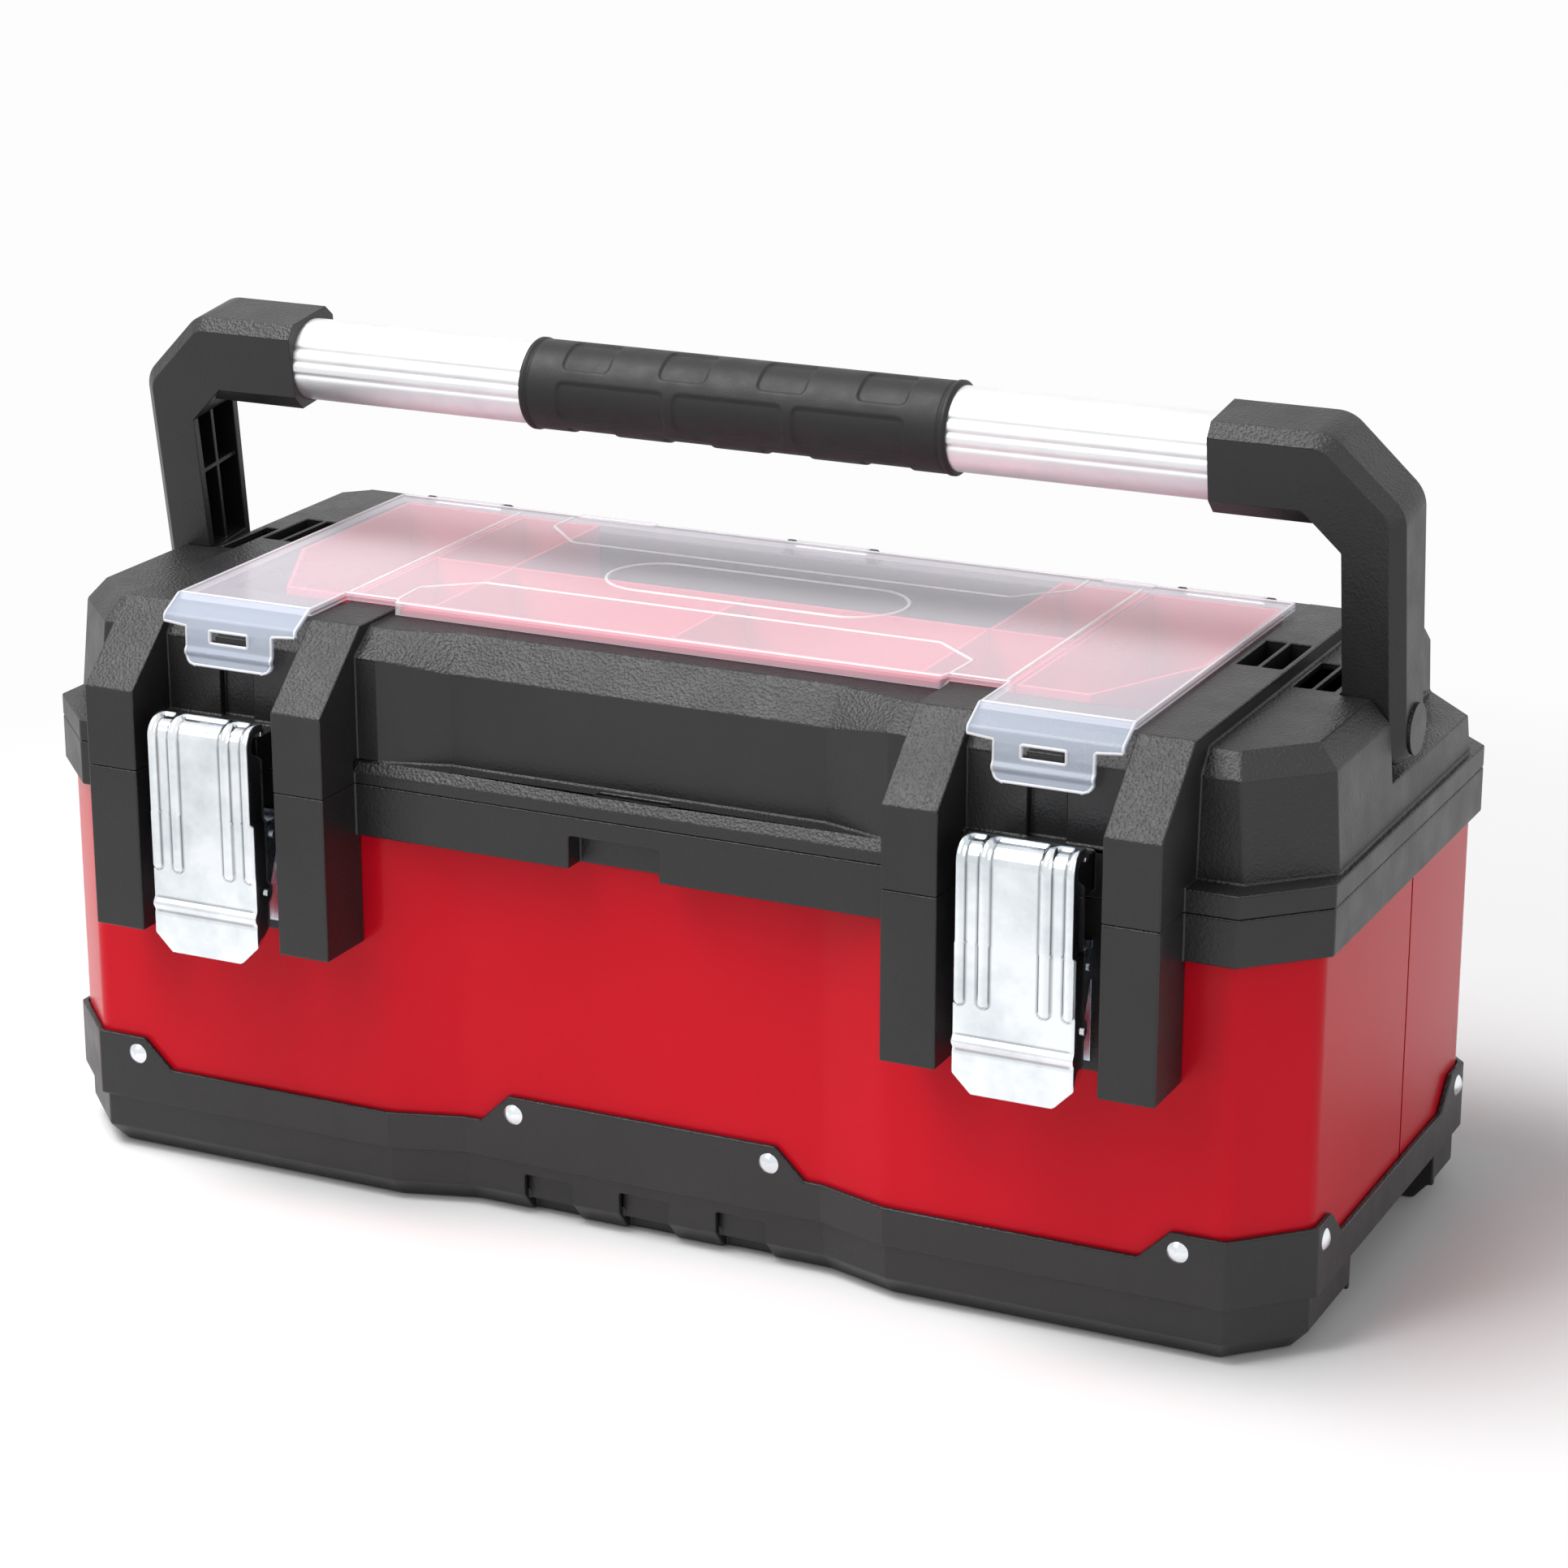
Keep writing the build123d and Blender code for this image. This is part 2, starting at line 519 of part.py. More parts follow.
def base_rivets():
    heads = []
    for place, direction in rivet_places():
        seat = Plane(origin=place, z_dir=direction)
        ball_r = (RIVET_HEAD_R ** 2 + RIVET_HEAD_H ** 2) / (2 * RIVET_HEAD_H)
        dome = Pos(0, 0, RIVET_HEAD_H - ball_r) * Sphere(ball_r)
        dome &= Pos(0, 0, RIVET_HEAD_H / 2) * Cylinder(RIVET_HEAD_R, RIVET_HEAD_H)
        heads.append(seat * dome + rivet_shank(place, direction))
    return heads


def tub_half(front):
    """One half of the steel tub: a band bent round the case, open at the top and bottom."""
    band = ring(case_plan(RIM_LAP, DENT_DEPTH), case_plan(RIM_LAP + SHEET, DENT_DEPTH), SHEET_FOOT, SHEET_TOP)
    far = RIM_DEPTH
    edge = TUB_SEAM_Y - TUB_SEAM_GAP / 2
    y0, y1 = (-far, edge) if front else (edge + TUB_SEAM_GAP, far)
    return band & block(-RIM_LENGTH, RIM_LENGTH, y0, y1, SHEET_FOOT, SHEET_TOP)


def pillar_box(x, low, high, rear_y):
    return block(x - PILLAR_WIDTH / 2, x + PILLAR_WIDTH / 2, PILLAR_FRONT_Y, rear_y, low, high)


def body_rim():
    """Moulded rim: groove for the sheet, tray ledge, lower pillars, latch pads, hinge knuckles."""
    rim = ring(case_plan(0), case_plan(LEDGE_INSET), RIM_LOW, LEDGE_Z)
    rim += ring(case_plan(0), case_plan(MOUTH_INSET), LEDGE_Z, SEAM_Z)
    sheet = ring(case_plan(RIM_LAP, DENT_DEPTH), case_plan(RIM_LAP + SHEET, DENT_DEPTH), RIM_LOW, SHEET_TOP)
    rim -= sheet
    for x in PILLARS:
        rim += pillar_box(x, PILLAR_LOW, RIM_LOW, TUB_FRONT_Y)
        rim += pillar_box(x, RIM_LOW, SEAM_Z, TUB_FRONT_Y)
    for x in BAYS.values():
        rim += block(x - BAY_WIDTH / 2, x + BAY_WIDTH / 2, RIM_FRONT_Y, TUB_FRONT_Y, PILLAR_LOW, RIM_LOW)
    for x in PILLARS:
        half = PILLAR_WIDTH / 2 - PILLAR_WALL
        rim -= block(x - half, x + half, PILLAR_FRONT_Y + PILLAR_WALL, TUB_FRONT_Y - PILLAR_WALL,
                     PILLAR_LOW, SEAM_Z - PILLAR_WALL)
    apron = ring(case_plan(0), case_plan(RIM_LAP, DENT_DEPTH), RIM_LOW - RIM_APRON, RIM_LOW)
    rim += apron & block(-APRON_HALF, APRON_HALF, RIM_FRONT_Y, 0, RIM_LOW - RIM_APRON, RIM_LOW)
    rim -= block(RIM_NOTCH_LEFT, RIM_NOTCH_RIGHT, RIM_FRONT_Y, RIM_FRONT_Y + DENT_DEPTH,
                 RIM_LOW - RIM_APRON, RIM_NOTCH_TOP)
    for x in (-HINGE_X, HINGE_X):
        for step in SIDES:
            rim += knuckle(x + step * HINGE_KNUCKLE, HINGE_PIN_R, below=True)
    return rim


def knuckle(x, bore, below):
    """One knuckle of the lid hinge, joined to the rim below its axis or to the lid above it."""
    half = HINGE_KNUCKLE / 2 - (0 if below else KNUCKLE_GAP)
    eye = rod(HINGE_R, x - half, x + half, HINGE_Y, SEAM_Z)
    z0, z1 = (SEAM_Z - HINGE_R - LID_FLANGE_H, SEAM_Z) if below else (SEAM_Z, LID_FLANGE_TOP)
    web = block(x - half, x + half, RIM_DEPTH / 2, HINGE_Y, z0, z1)
    eye += web
    if below:
        slope = [(RIM_DEPTH / 2, z0 - 1), (HINGE_Y + 1, z0 - 1), (HINGE_Y + 1, SEAM_Z - HINGE_R)]
        eye -= prism(slope, x - half, x + half, Plane.YZ)
    return eye - rod(bore, x - half, x + half, HINGE_Y, SEAM_Z)


def lid_hinge_pins():
    half = HINGE_KNUCKLE * 1.5
    return [rod(HINGE_PIN_R, x - half, x + half, HINGE_Y, SEAM_Z) for x in (-HINGE_X, HINGE_X)]


# ---------------------------------------------------------------- lid pieces
def pillar_profile(rear_y):
    """Side view of an upper pillar: upright, slanting back at the knee, then along the top."""
    return [(PILLAR_FRONT_Y, SEAM_Z), (PILLAR_FRONT_Y, PILLAR_KNEE_Z), (PILLAR_TOP_Y, STRIP_TOP),
            (rear_y, STRIP_TOP), (rear_y, SEAM_Z)]


def bay_profile():
    """Side view of the wall behind a latch and the bevel under the cover's tongue."""
    return [(-RIM_DEPTH / 2, SEAM_Z), (-RIM_DEPTH / 2, BAY_LEDGE_Z), (BAY_WALL_Y, BAY_LEDGE_Z),
            (BAY_WALL_Y, BAY_BEVEL_Z), (BAY_TOP_Y, DECK_TOP), (WELL_FRONT_Y, DECK_TOP), (WELL_FRONT_Y, SEAM_Z)]


def panel_section(wall_y, bevel_z, top_y):
    """Side view of the front panel: upright wall, then a bevel up to the deck."""
    return [(WELL_FRONT_Y, SEAM_Z), (wall_y, SEAM_Z), (wall_y, bevel_z), (top_y, DECK_TOP), (WELL_FRONT_Y, DECK_TOP)]


def front_panel():
    """Faceted front between the inner pillars, leaning back at its top."""
    middle = panel_section(PANEL_WALL_Y, PANEL_BEVEL_Z, PANEL_TOP_Y)
    end = panel_section(PANEL_END_Y, PANEL_END_BEVEL_Z, PANEL_END_TOP_Y)
    panel = prism(middle, -PANEL_IN_X, PANEL_IN_X, Plane.YZ)
    for side in SIDES:
        x0, x1 = span(side, PANEL_OUT_X, PANEL_HALF)
        panel += prism(end, x0, x1, Plane.YZ)
        inner_face = Plane.YZ.offset(side * PANEL_IN_X) * make_face(Polyline(*middle, close=True))
        outer_face = Plane.YZ.offset(side * PANEL_OUT_X) * make_face(Polyline(*end, close=True))
        panel += loft([inner_face, outer_face], ruled=True)
    return panel


def recess_outline(side, drop):
    """Front view of the space beside the lid that an arm folds into, grown by drop."""
    inner = side * (RECESS_X - drop)
    outer = side * (ARM_OUTER_X + 10)
    run = (RECESS_INNER_Z - RECESS_OUTER_Z) / (LID_HALF_X - RECESS_X)
    outer_z = RECESS_OUTER_Z - run * (ARM_OUTER_X + 10 - LID_HALF_X)
    roof = STRIP_TOP + 10
    return [(inner, RECESS_INNER_Z - drop), (outer, outer_z - drop), (outer, roof), (inner, roof)]


def lid_plan(inset):
    """The plan of the lid's raised body moved inwards by the same amount all round."""
    return plan(LID_HALF_X - inset, LID_HALF_Y - inset, LID_CORNER - inset * CORNER_SHRINK)


def lid_outside():
    """All of the lid's outer form, still solid."""
    shapes = [prism(case_plan(0), SEAM_Z, LID_FLANGE_TOP)]
    foot = plan(LID_HALF_X + LID_DRAFT, LID_HALF_Y + LID_DRAFT_Y, LID_CORNER)
    shapes.append(prism(foot, SEAM_Z, LID_FLANGE_TOP))
    shapes.append(frustum(foot, LID_FLANGE_TOP, lid_plan(0), BLOCK_BEVEL_Z))
    shapes.append(frustum(lid_plan(0), BLOCK_BEVEL_Z, lid_plan(BLOCK_BEVEL), BLOCK_TOP))
    shapes.append(block(-STRIP_INNER_X, STRIP_INNER_X, WELL_FRONT_Y, DECK_REAR_Y, BLOCK_TOP, DECK_TOP))
    shapes.append(front_panel())
    for x in BAYS.values():
        shapes.append(prism(bay_profile(), x - BAY_WIDTH / 2, x + BAY_WIDTH / 2, Plane.YZ))
    for x in PILLARS:
        rear = STRIP_REAR_Y if abs(x) > BAY_X else COVER_FRONT_Y
        shapes.append(prism(pillar_profile(rear), x - PILLAR_WIDTH / 2, x + PILLAR_WIDTH / 2, Plane.YZ))
    return joined(shapes)


def lid_cavity():
    """The hollow inside the lid, kept clear of the arm recesses."""
    low = prism(case_plan(LID_WALL), SEAM_Z, LID_FLANGE_TOP - LID_WALL)
    mid = prism(lid_plan(LID_WALL), SEAM_Z, BLOCK_BEVEL_Z - LID_WALL)
    roof = lid_plan(LID_WALL + BLOCK_BEVEL)
    high = frustum(lid_plan(LID_WALL), BLOCK_BEVEL_Z - LID_WALL, roof, BLOCK_TOP - LID_WALL)
    cavity = low + mid + high
    for side in SIDES:
        guard = prism(recess_outline(side, LID_WALL), RECESS_FRONT_Y - LID_WALL, RIM_DEPTH / 2, Plane.XZ)
        cavity -= guard
    return cavity


def lid_shell():
    lid = lid_outside() - lid_cavity()
    well = block(-WELL_HALF_X - LID_WALL, WELL_HALF_X + LID_WALL, WELL_FRONT_Y - LID_WALL, WELL_REAR_Y + LID_WALL,
                 WELL_FLOOR - LID_WALL, DECK_TOP)
    lid += well
    lid -= block(-WELL_HALF_X, WELL_HALF_X, WELL_FRONT_Y, WELL_REAR_Y, WELL_FLOOR, STRIP_TOP)
    for side in SIDES:
        lid -= prism(recess_outline(side, 0), RECESS_FRONT_Y, RIM_DEPTH / 2, Plane.XZ)
    lid = lid_fronts(lid)
    lid = lid_pivots(lid)
    lid = lid_vents(lid)
    for x in (-HINGE_X, HINGE_X):
        lid += knuckle(x, HINGE_PIN_R + RUN_GAP, below=False)
    for x in cover_hinge_places():
        half = COVER_KNUCKLE / 2 + COVER_LUG
        groove_y = COVER_AXIS_Y - COVER_KNUCKLE_R - KNUCKLE_GAP
        floor = COVER_AXIS_Z - COVER_KNUCKLE_R - KNUCKLE_GAP
        lid -= block(x - half, x + half, groove_y, COVER_AXIS_Y + COVER_KNUCKLE_R + 1, floor, STRIP_TOP)
        for step in SIDES:
            lid += cover_lug(x + step * (COVER_KNUCKLE + COVER_LUG) / 2, floor)
    return lid


def lid_fronts(lid):
    """Hollow pillars and bays, latch catches, cover nubs, and the slot in the ledge."""
    for x in PILLARS:
        half = PILLAR_WIDTH / 2 - PILLAR_WALL
        lid -= block(x - half, x + half, PILLAR_FRONT_Y + PILLAR_WALL, -LID_HALF_Y, SEAM_Z, PILLAR_KNEE_Z - 1)
    for x in BAYS.values():
        half = BAY_WIDTH / 2 - PILLAR_WALL
        lid -= block(x - half, x + half, BAY_WALL_Y + BAY_POCKET, -LID_HALF_Y + LID_WALL + 1, SEAM_Z, BLOCK_BEVEL_Z)
        half = BAY_CHANNEL / 2
        lid -= block(x - half, x + half, BAY_WALL_Y, BAY_WALL_Y + BAY_CHANNEL_DEPTH, BAY_LEDGE_Z, BAY_BEVEL_Z - 4)
        lid += block(x - CATCH_HALF, x + CATCH_HALF, CATCH_FRONT_Y, -RIM_DEPTH / 2, CATCH_LOW, CATCH_HIGH)
        half = WINDOW_HALF - 1
        nub_y = TAB_BACK_Y + NUB_GAP
        lid += block(x - half, x + half, nub_y, BAY_WALL_Y + BAY_CHANNEL_DEPTH, WINDOW_LOW - 4, WINDOW_HIGH - 1)
    brow = [(RIM_FRONT_Y, LID_FLANGE_TOP - PANEL_BROW), (RIM_FRONT_Y, LID_FLANGE_TOP)]
    brow += [(RIM_FRONT_Y + PANEL_BROW_Y, LID_FLANGE_TOP)]
    lid -= prism(brow, -PANEL_HALF, PANEL_HALF, Plane.YZ)
    slot_y = (PANEL_WALL_Y + RIM_FRONT_Y) / 2
    return lid - block(LID_SLOT_X - LID_SLOT_HALF, LID_SLOT_X + LID_SLOT_HALF, slot_y - LID_SLOT_WIDTH / 2,
                       slot_y + LID_SLOT_WIDTH / 2, SEAM_Z, LID_FLANGE_TOP)


def lid_pivots(lid):
    """Bosses and bores for the handle's pivot pins."""
    for side in SIDES:
        x0, x1 = span(side, RECESS_X - LID_WALL - PIVOT_BOSS, RECESS_X)
        lid += rod(PIVOT_HEAD_R, x0, x1, PIVOT_Y, PIVOT_Z)
        lid -= rod(PIVOT_PIN_R, x0, x1, PIVOT_Y, PIVOT_Z)
    return lid


def lid_vents(lid):
    """Two pairs of ribbed vent slots in the top, beside each arm."""
    low = BLOCK_TOP - LID_WALL - 2
    inner = (STRIP_INNER_X + VENT_MARGIN, STRIP_OUTER_X - VENT_MARGIN)
    outer = (STRIP_OUTER_X + VENT_MARGIN, VENT_OUTER_X)
    for side in SIDES:
        for left, right in (inner, outer):
            middle = (left + right) / 2
            for a, b in ((left, middle - VENT_RIB / 2), (middle + VENT_RIB / 2, right)):
                x0, x1 = span(side, a, b)
                lid -= block(x0, x1, VENT_FRONT_Y, VENT_REAR_Y, low, STRIP_TOP)
    return lid


def cover_hinge_places():
    return (-COVER_HINGE_X, 0.0, COVER_HINGE_X)


def cover_lug(x, floor):
    """Lug of the lid that holds one end of a cover hinge pin."""
    half = COVER_LUG / 2 - KNUCKLE_GAP
    y0 = COVER_AXIS_Y - COVER_KNUCKLE_R
    lug = rod(COVER_KNUCKLE_R, x - half, x + half, COVER_AXIS_Y, COVER_AXIS_Z)
    lug += block(x - half, x + half, y0, COVER_AXIS_Y + COVER_KNUCKLE_R, floor, COVER_AXIS_Z)
    return lug - rod(COVER_PIN_R, x - half, x + half, COVER_AXIS_Y, COVER_AXIS_Z)


def cover_hinge_pins():
    half = COVER_KNUCKLE / 2 + COVER_LUG - KNUCKLE_GAP
    return [rod(COVER_PIN_R, x - half, x + half, COVER_AXIS_Y, COVER_AXIS_Z) for x in cover_hinge_places()]


def handle_pivot_pins():
    """Headed steel pins, fixed in the lid, that the arms turn on."""
    pins = []
    for side in SIDES:
        root = RECESS_X - LID_WALL - PIVOT_BOSS
        x0, x1 = span(side, root, ARM_OUTER_X - ARM_WALL - 1)
        head0, head1 = span(side, root - PIVOT_HEAD_H, root)
        pins.append(rod(PIVOT_PIN_R, x0, x1, PIVOT_Y, PIVOT_Z) + rod(PIVOT_HEAD_R, head0, head1, PIVOT_Y, PIVOT_Z))
    return pins


def hollow_bin(outline, pockets):
    """Open-topped bin of one outline, with a list of pocket outlines cut into it."""
    cup = prism(outline, WELL_FLOOR, BIN_TOP)
    for pocket in pockets:
        cup -= prism(pocket, WELL_FLOOR + BIN_WALL, BIN_TOP)
    return cup


def side_bin(side):
    """Bin at one end of the well, its outer front corner cut away."""
    x0 = BIN_SPLIT_X + BIN_GAP
    x1 = WELL_HALF_X - BIN_GAP
    y0 = WELL_FRONT_Y + BIN_GAP
    y1 = WELL_REAR_Y - BIN_GAP

    def outline(t):
        slant = t * (math.hypot(BIN_CUT_X, BIN_CUT_Y) - BIN_CUT_X) / BIN_CUT_Y
        rise = t * (math.hypot(BIN_CUT_X, BIN_CUT_Y) - BIN_CUT_Y) / BIN_CUT_X
        points = [(x0 + t, y0 + t), (x1 - BIN_CUT_X - slant, y0 + t), (x1 - t, y0 + BIN_CUT_Y + rise)]
        points += [(x1 - t, y1 - t), (x0 + t, y1 - t)]
        return [(side * x, y) for x, y in points]

    return hollow_bin(outline(0), [outline(BIN_WALL)])


def centre_bin():
    """U-shaped bin: a front row of four pockets and one pocket behind each end."""
    x1 = BIN_SPLIT_X - BIN_GAP
    y0 = WELL_FRONT_Y + BIN_GAP
    y1 = WELL_REAR_Y - BIN_GAP
    outline = [(-x1, y0), (x1, y0), (x1, y1), (BIN_ROW_X, y1), (BIN_ROW_X, BIN_ROW_Y)]
    outline += [(-BIN_ROW_X, BIN_ROW_Y), (-BIN_ROW_X, y1), (-x1, y1)]
    half = BIN_WALL / 2
    row = [(0, BIN_ROW_X), (BIN_ROW_X, x1 - half)]
    pockets = []
    for side in SIDES:
        for a, b in row:
            x_low, x_high = span(side, a + half, b - half)
            pockets.append(rectangle(x_low, x_high, y0 + BIN_WALL, BIN_ROW_Y - BIN_WALL))
        x_low, x_high = span(side, BIN_ROW_X + BIN_WALL, x1 - BIN_WALL)
        pockets.append(rectangle(x_low, x_high, BIN_ROW_Y, y1 - BIN_WALL))
    return hollow_bin(outline, pockets)


def rectangle(x0, x1, y0, y1):
    return [(x0, y0), (x1, y0), (x1, y1), (x0, y1)]


# ---------------------------------------------------------------- clear cover
def clear_cover():
    """Clear plate with two tongues that bend down between the pillars to a snap tab."""
    outline = [(-COVER_HALF_X, TONGUE_FRONT_Y), (-TONGUE_INNER_X, TONGUE_FRONT_Y)]
    outline += [(-TONGUE_INNER_X, COVER_FRONT_Y), (TONGUE_INNER_X, COVER_FRONT_Y)]
    outline += [(TONGUE_INNER_X, TONGUE_FRONT_Y), (COVER_HALF_X, TONGUE_FRONT_Y)]
    outline += [(COVER_HALF_X, COVER_REAR_Y), (-COVER_HALF_X, COVER_REAR_Y)]
    cover = prism(outline, COVER_LOW, COVER_TOP)
    for side in SIDES:
        cover += tongue_end(side)
    for x in cover_hinge_places():
        half = COVER_KNUCKLE / 2
        lug_half = half + COVER_LUG
        relief_y = COVER_AXIS_Y - COVER_KNUCKLE_R - KNUCKLE_GAP
        cover -= block(x - lug_half, x + lug_half, relief_y, COVER_REAR_Y, COVER_LOW, COVER_TOP)
        cover += block(x - half, x + half, relief_y, COVER_AXIS_Y, COVER_LOW, COVER_AXIS_Z + COVER_KNUCKLE_R)
        cover += rod(COVER_KNUCKLE_R, x - half, x + half, COVER_AXIS_Y, COVER_AXIS_Z)
        cover -= rod(COVER_PIN_R + RUN_GAP, x - half, x + half, COVER_AXIS_Y, COVER_AXIS_Z)
    return cover


def tongue_end(side):
    """Sloping lip, snap tab and its window at the front of one tongue."""
    x = side * BAY_X
    lip = [(TONGUE_FRONT_Y, COVER_TOP), (LIP_FRONT_Y - COVER_SHEET * 0.5, LIP_LOW + COVER_SHEET)]
    lip += [(LIP_FRONT_Y - COVER_SHEET * 0.5, LIP_LOW), (LIP_FRONT_Y + COVER_SHEET * 0.5, LIP_LOW)]
    lip += [(TONGUE_FRONT_Y + COVER_SHEET * 0.4, COVER_LOW), (TONGUE_FRONT_Y + COVER_SHEET, COVER_LOW)]
    lip += [(TONGUE_FRONT_Y + COVER_SHEET, COVER_TOP)]
    x0, x1 = span(side, TONGUE_INNER_X, COVER_HALF_X)
    end = prism(lip, x0, x1, Plane.YZ)
    front = TAB_BACK_Y - TAB_SHEET
    tab = [(TAB_BACK_Y, LIP_LOW + COVER_SHEET * 0.8), (front, LIP_LOW + COVER_SHEET * 0.8)]
    tab += [(front, TAB_LOW), (front - TAB_SHEET, TAB_LOW - TAB_SHEET)]
    tab += [(front - TAB_SHEET * 0.2, TAB_LOW - TAB_SHEET * 1.6), (TAB_BACK_Y, TAB_LOW)]
    end += prism(tab, x - TAB_HALF, x + TAB_HALF, Plane.YZ)
    return end - block(x - WINDOW_HALF, x + WINDOW_HALF, front, TAB_BACK_Y, WINDOW_LOW, WINDOW_HIGH)


# ---------------------------------------------------------------- handle pieces
def on_handle(shape):
    """Move a piece drawn upright over the pivot to the handle's leaning place."""
    return Pos(0, PIVOT_Y, PIVOT_Z) * Rot(LEAN, 0, 0) * shape


def arm_front_outline():
    """Front view of the right arm: leg, sloping shoulder and head round the tube."""
    return [(ARM_INNER_X, -ARM_FOOT_HALF), (ARM_OUTER_X, -ARM_FOOT_HALF), (ARM_OUTER_X, ARM_SLOPE_LOW),
            (ARM_SLOPE_X, ARM_HEAD_HIGH), (ARM_END_X, ARM_HEAD_HIGH), (ARM_END_X, ARM_HEAD_LOW),
            (ARM_INNER_X - ARM_CROTCH, ARM_HEAD_LOW), (ARM_INNER_X, ARM_HEAD_LOW - ARM_CROTCH)]


def arm_side_form(half_foot, half_head, low_x, high_x):
    """Side form of an arm: round foot, with sides that widen evenly up to the head."""
    lean = math.atan2(ARM_HEAD_HIGH, half_head) - math.acos(half_foot / math.hypot(half_head, ARM_HEAD_HIGH))
    foot = (half_foot * math.cos(lean), half_foot * math.sin(lean))
    head = (half_head, ARM_HEAD_HIGH)
    sides = Polyline(foot, head, (-head[0], head[1]), (-foot[0], foot[1]))
    under = ThreePointArc((-foot[0], foot[1]), (0, -half_foot), foot)
    return extrude(Plane.YZ.offset(low_x) * make_face(sides + under), amount=high_x - low_x)


def under_bevel(face):
    """Wedge cut from a head's lower edge, on the front (-1) or the back (1), up to the crotch."""
    half = ARM_FOOT_HALF + (ARM_HEAD_HALF - ARM_FOOT_HALF) * ARM_HEAD_LOW / ARM_HEAD_HIGH
    low = Vector(face * (half - ARM_BEVEL), ARM_HEAD_LOW)
    high = Vector(face * half, ARM_HEAD_LOW + ARM_UNDER_BEVEL)
    corners = [low * 2 - high, high * 2 - low, Vector(face * (half + ARM_BEVEL), ARM_HEAD_LOW - ARM_UNDER_BEVEL)]
    wedge = prism([(corner.X, corner.Y) for corner in corners], ARM_END_X, ARM_INNER_X, Plane.YZ)
    crotch = ARM_INNER_X - ARM_CROTCH
    left = [(ARM_END_X, ARM_HEAD_LOW - ARM_BEVEL), (crotch + ARM_BEVEL, ARM_HEAD_LOW - ARM_BEVEL)]
    left += [(crotch - 2 * ARM_BEVEL, ARM_HEAD_LOW + 2 * ARM_BEVEL), (ARM_END_X, ARM_HEAD_LOW + 2 * ARM_BEVEL)]
    return wedge & prism(left, -2 * ARM_HEAD_HALF, 2 * ARM_HEAD_HALF, Plane.XZ)


def arm_ribs():
    """One upright rib and one cross rib inside the hollow leg."""
    reach = ARM_OUTER_X - ARM_WALL
    upright = block(ARM_INNER_X + 2, reach, -ARM_RIB / 2, ARM_RIB / 2, PIVOT_HEAD_R, ARM_HEAD_LOW)
    height = (ARM_FOOT_HALF + ARM_HEAD_LOW) / 2
    cross = block(ARM_INNER_X + 2, reach, -ARM_FOOT_HALF, ARM_FOOT_HALF, height - ARM_RIB / 2, height + ARM_RIB / 2)
    return upright + cross


def handle_arm(side):
    """Moulded arm, bevelled outside, its leg hollow towards the case."""
    form = prism(arm_front_outline(), -ARM_HEAD_HALF, ARM_HEAD_HALF, Plane.XZ)
    form = fillet([edge for edge in form.edges() if is_shoulder(edge)], ARM_SHOULDER_R)
    form &= arm_side_form(ARM_FOOT_HALF, ARM_HEAD_HALF, ARM_END_X, ARM_OUTER_X)
    form = chamfer([edge for edge in form.edges() if is_outer_rim(edge)], ARM_BEVEL)
    form -= under_bevel(-1) + under_bevel(1)
    form -= block(ARM_INNER_X, ARM_OUTER_X, -ARM_HEAD_HALF, ARM_HEAD_HALF, -ARM_FOOT_HALF, -ARM_FOOT_LOW)
    hollow = prism(rectangle(ARM_INNER_X, ARM_OUTER_X - ARM_WALL, ARM_FOOT_HALF, ARM_HEAD_LOW - ARM_CROTCH),
                   -ARM_HEAD_HALF, ARM_HEAD_HALF, Plane.XZ)
    hollow &= arm_side_form(ARM_FOOT_HALF - ARM_WALL, ARM_HEAD_HALF - ARM_WALL, ARM_INNER_X, ARM_OUTER_X)
    form -= hollow - arm_ribs()
    form -= rod(TUBE_R, ARM_END_X, ARM_END_X + TUBE_INSERT, 0, TUBE_S)
    form -= rod(PIVOT_PIN_R + RUN_GAP, ARM_INNER_X, ARM_OUTER_X - ARM_WALL, 0, 0)
    if side < 0:
        form = mirror(form, about=Plane.YZ)
    return on_handle(form)


def is_shoulder(edge):
    """True for the two edges across the arm where its slope begins and ends."""
    middle = edge.position_at(0.5)
    at_top = abs(middle.X - ARM_SLOPE_X) + abs(middle.Z - ARM_HEAD_HIGH) < 0.01
    at_side = abs(middle.X - ARM_OUTER_X) + abs(middle.Z - ARM_SLOPE_LOW) < 0.01
    return at_top or at_side


def is_outer_rim(edge):
    """True for the front and back edges of the arm's outer side, slope and top."""
    middle = edge.position_at(0.5)
    on_side = abs(middle.X - ARM_OUTER_X) < 0.01
    on_top = abs(middle.Z - ARM_HEAD_HIGH) < 0.01
    on_shoulder = middle.X > ARM_SLOPE_X - ARM_SHOULDER_R / 2 and middle.Z > ARM_SLOPE_LOW - ARM_SHOULDER_R / 2
    at_edge = abs(middle.Y) > ARM_FOOT_HALF - 1 or middle.Z < 0
    return at_edge and (on_side or on_top or on_shoulder)


def handle_tube():
    """Aluminium tube with shallow grooves along its front."""
    end = ARM_END_X + TUBE_INSERT
    tube = rod(TUBE_R, -end, end, 0, TUBE_S) - rod(TUBE_R - TUBE_WALL, -end, end, 0, TUBE_S)
    for angle in TUBE_GROOVE_ANGLES:
        y = -TUBE_R * math.cos(math.radians(angle))
        z = TUBE_S + TUBE_R * math.sin(math.radians(angle))
        tube -= rod(TUBE_GROOVE_R, -ARM_END_X, ARM_END_X, y, z)
    return on_handle(tube)


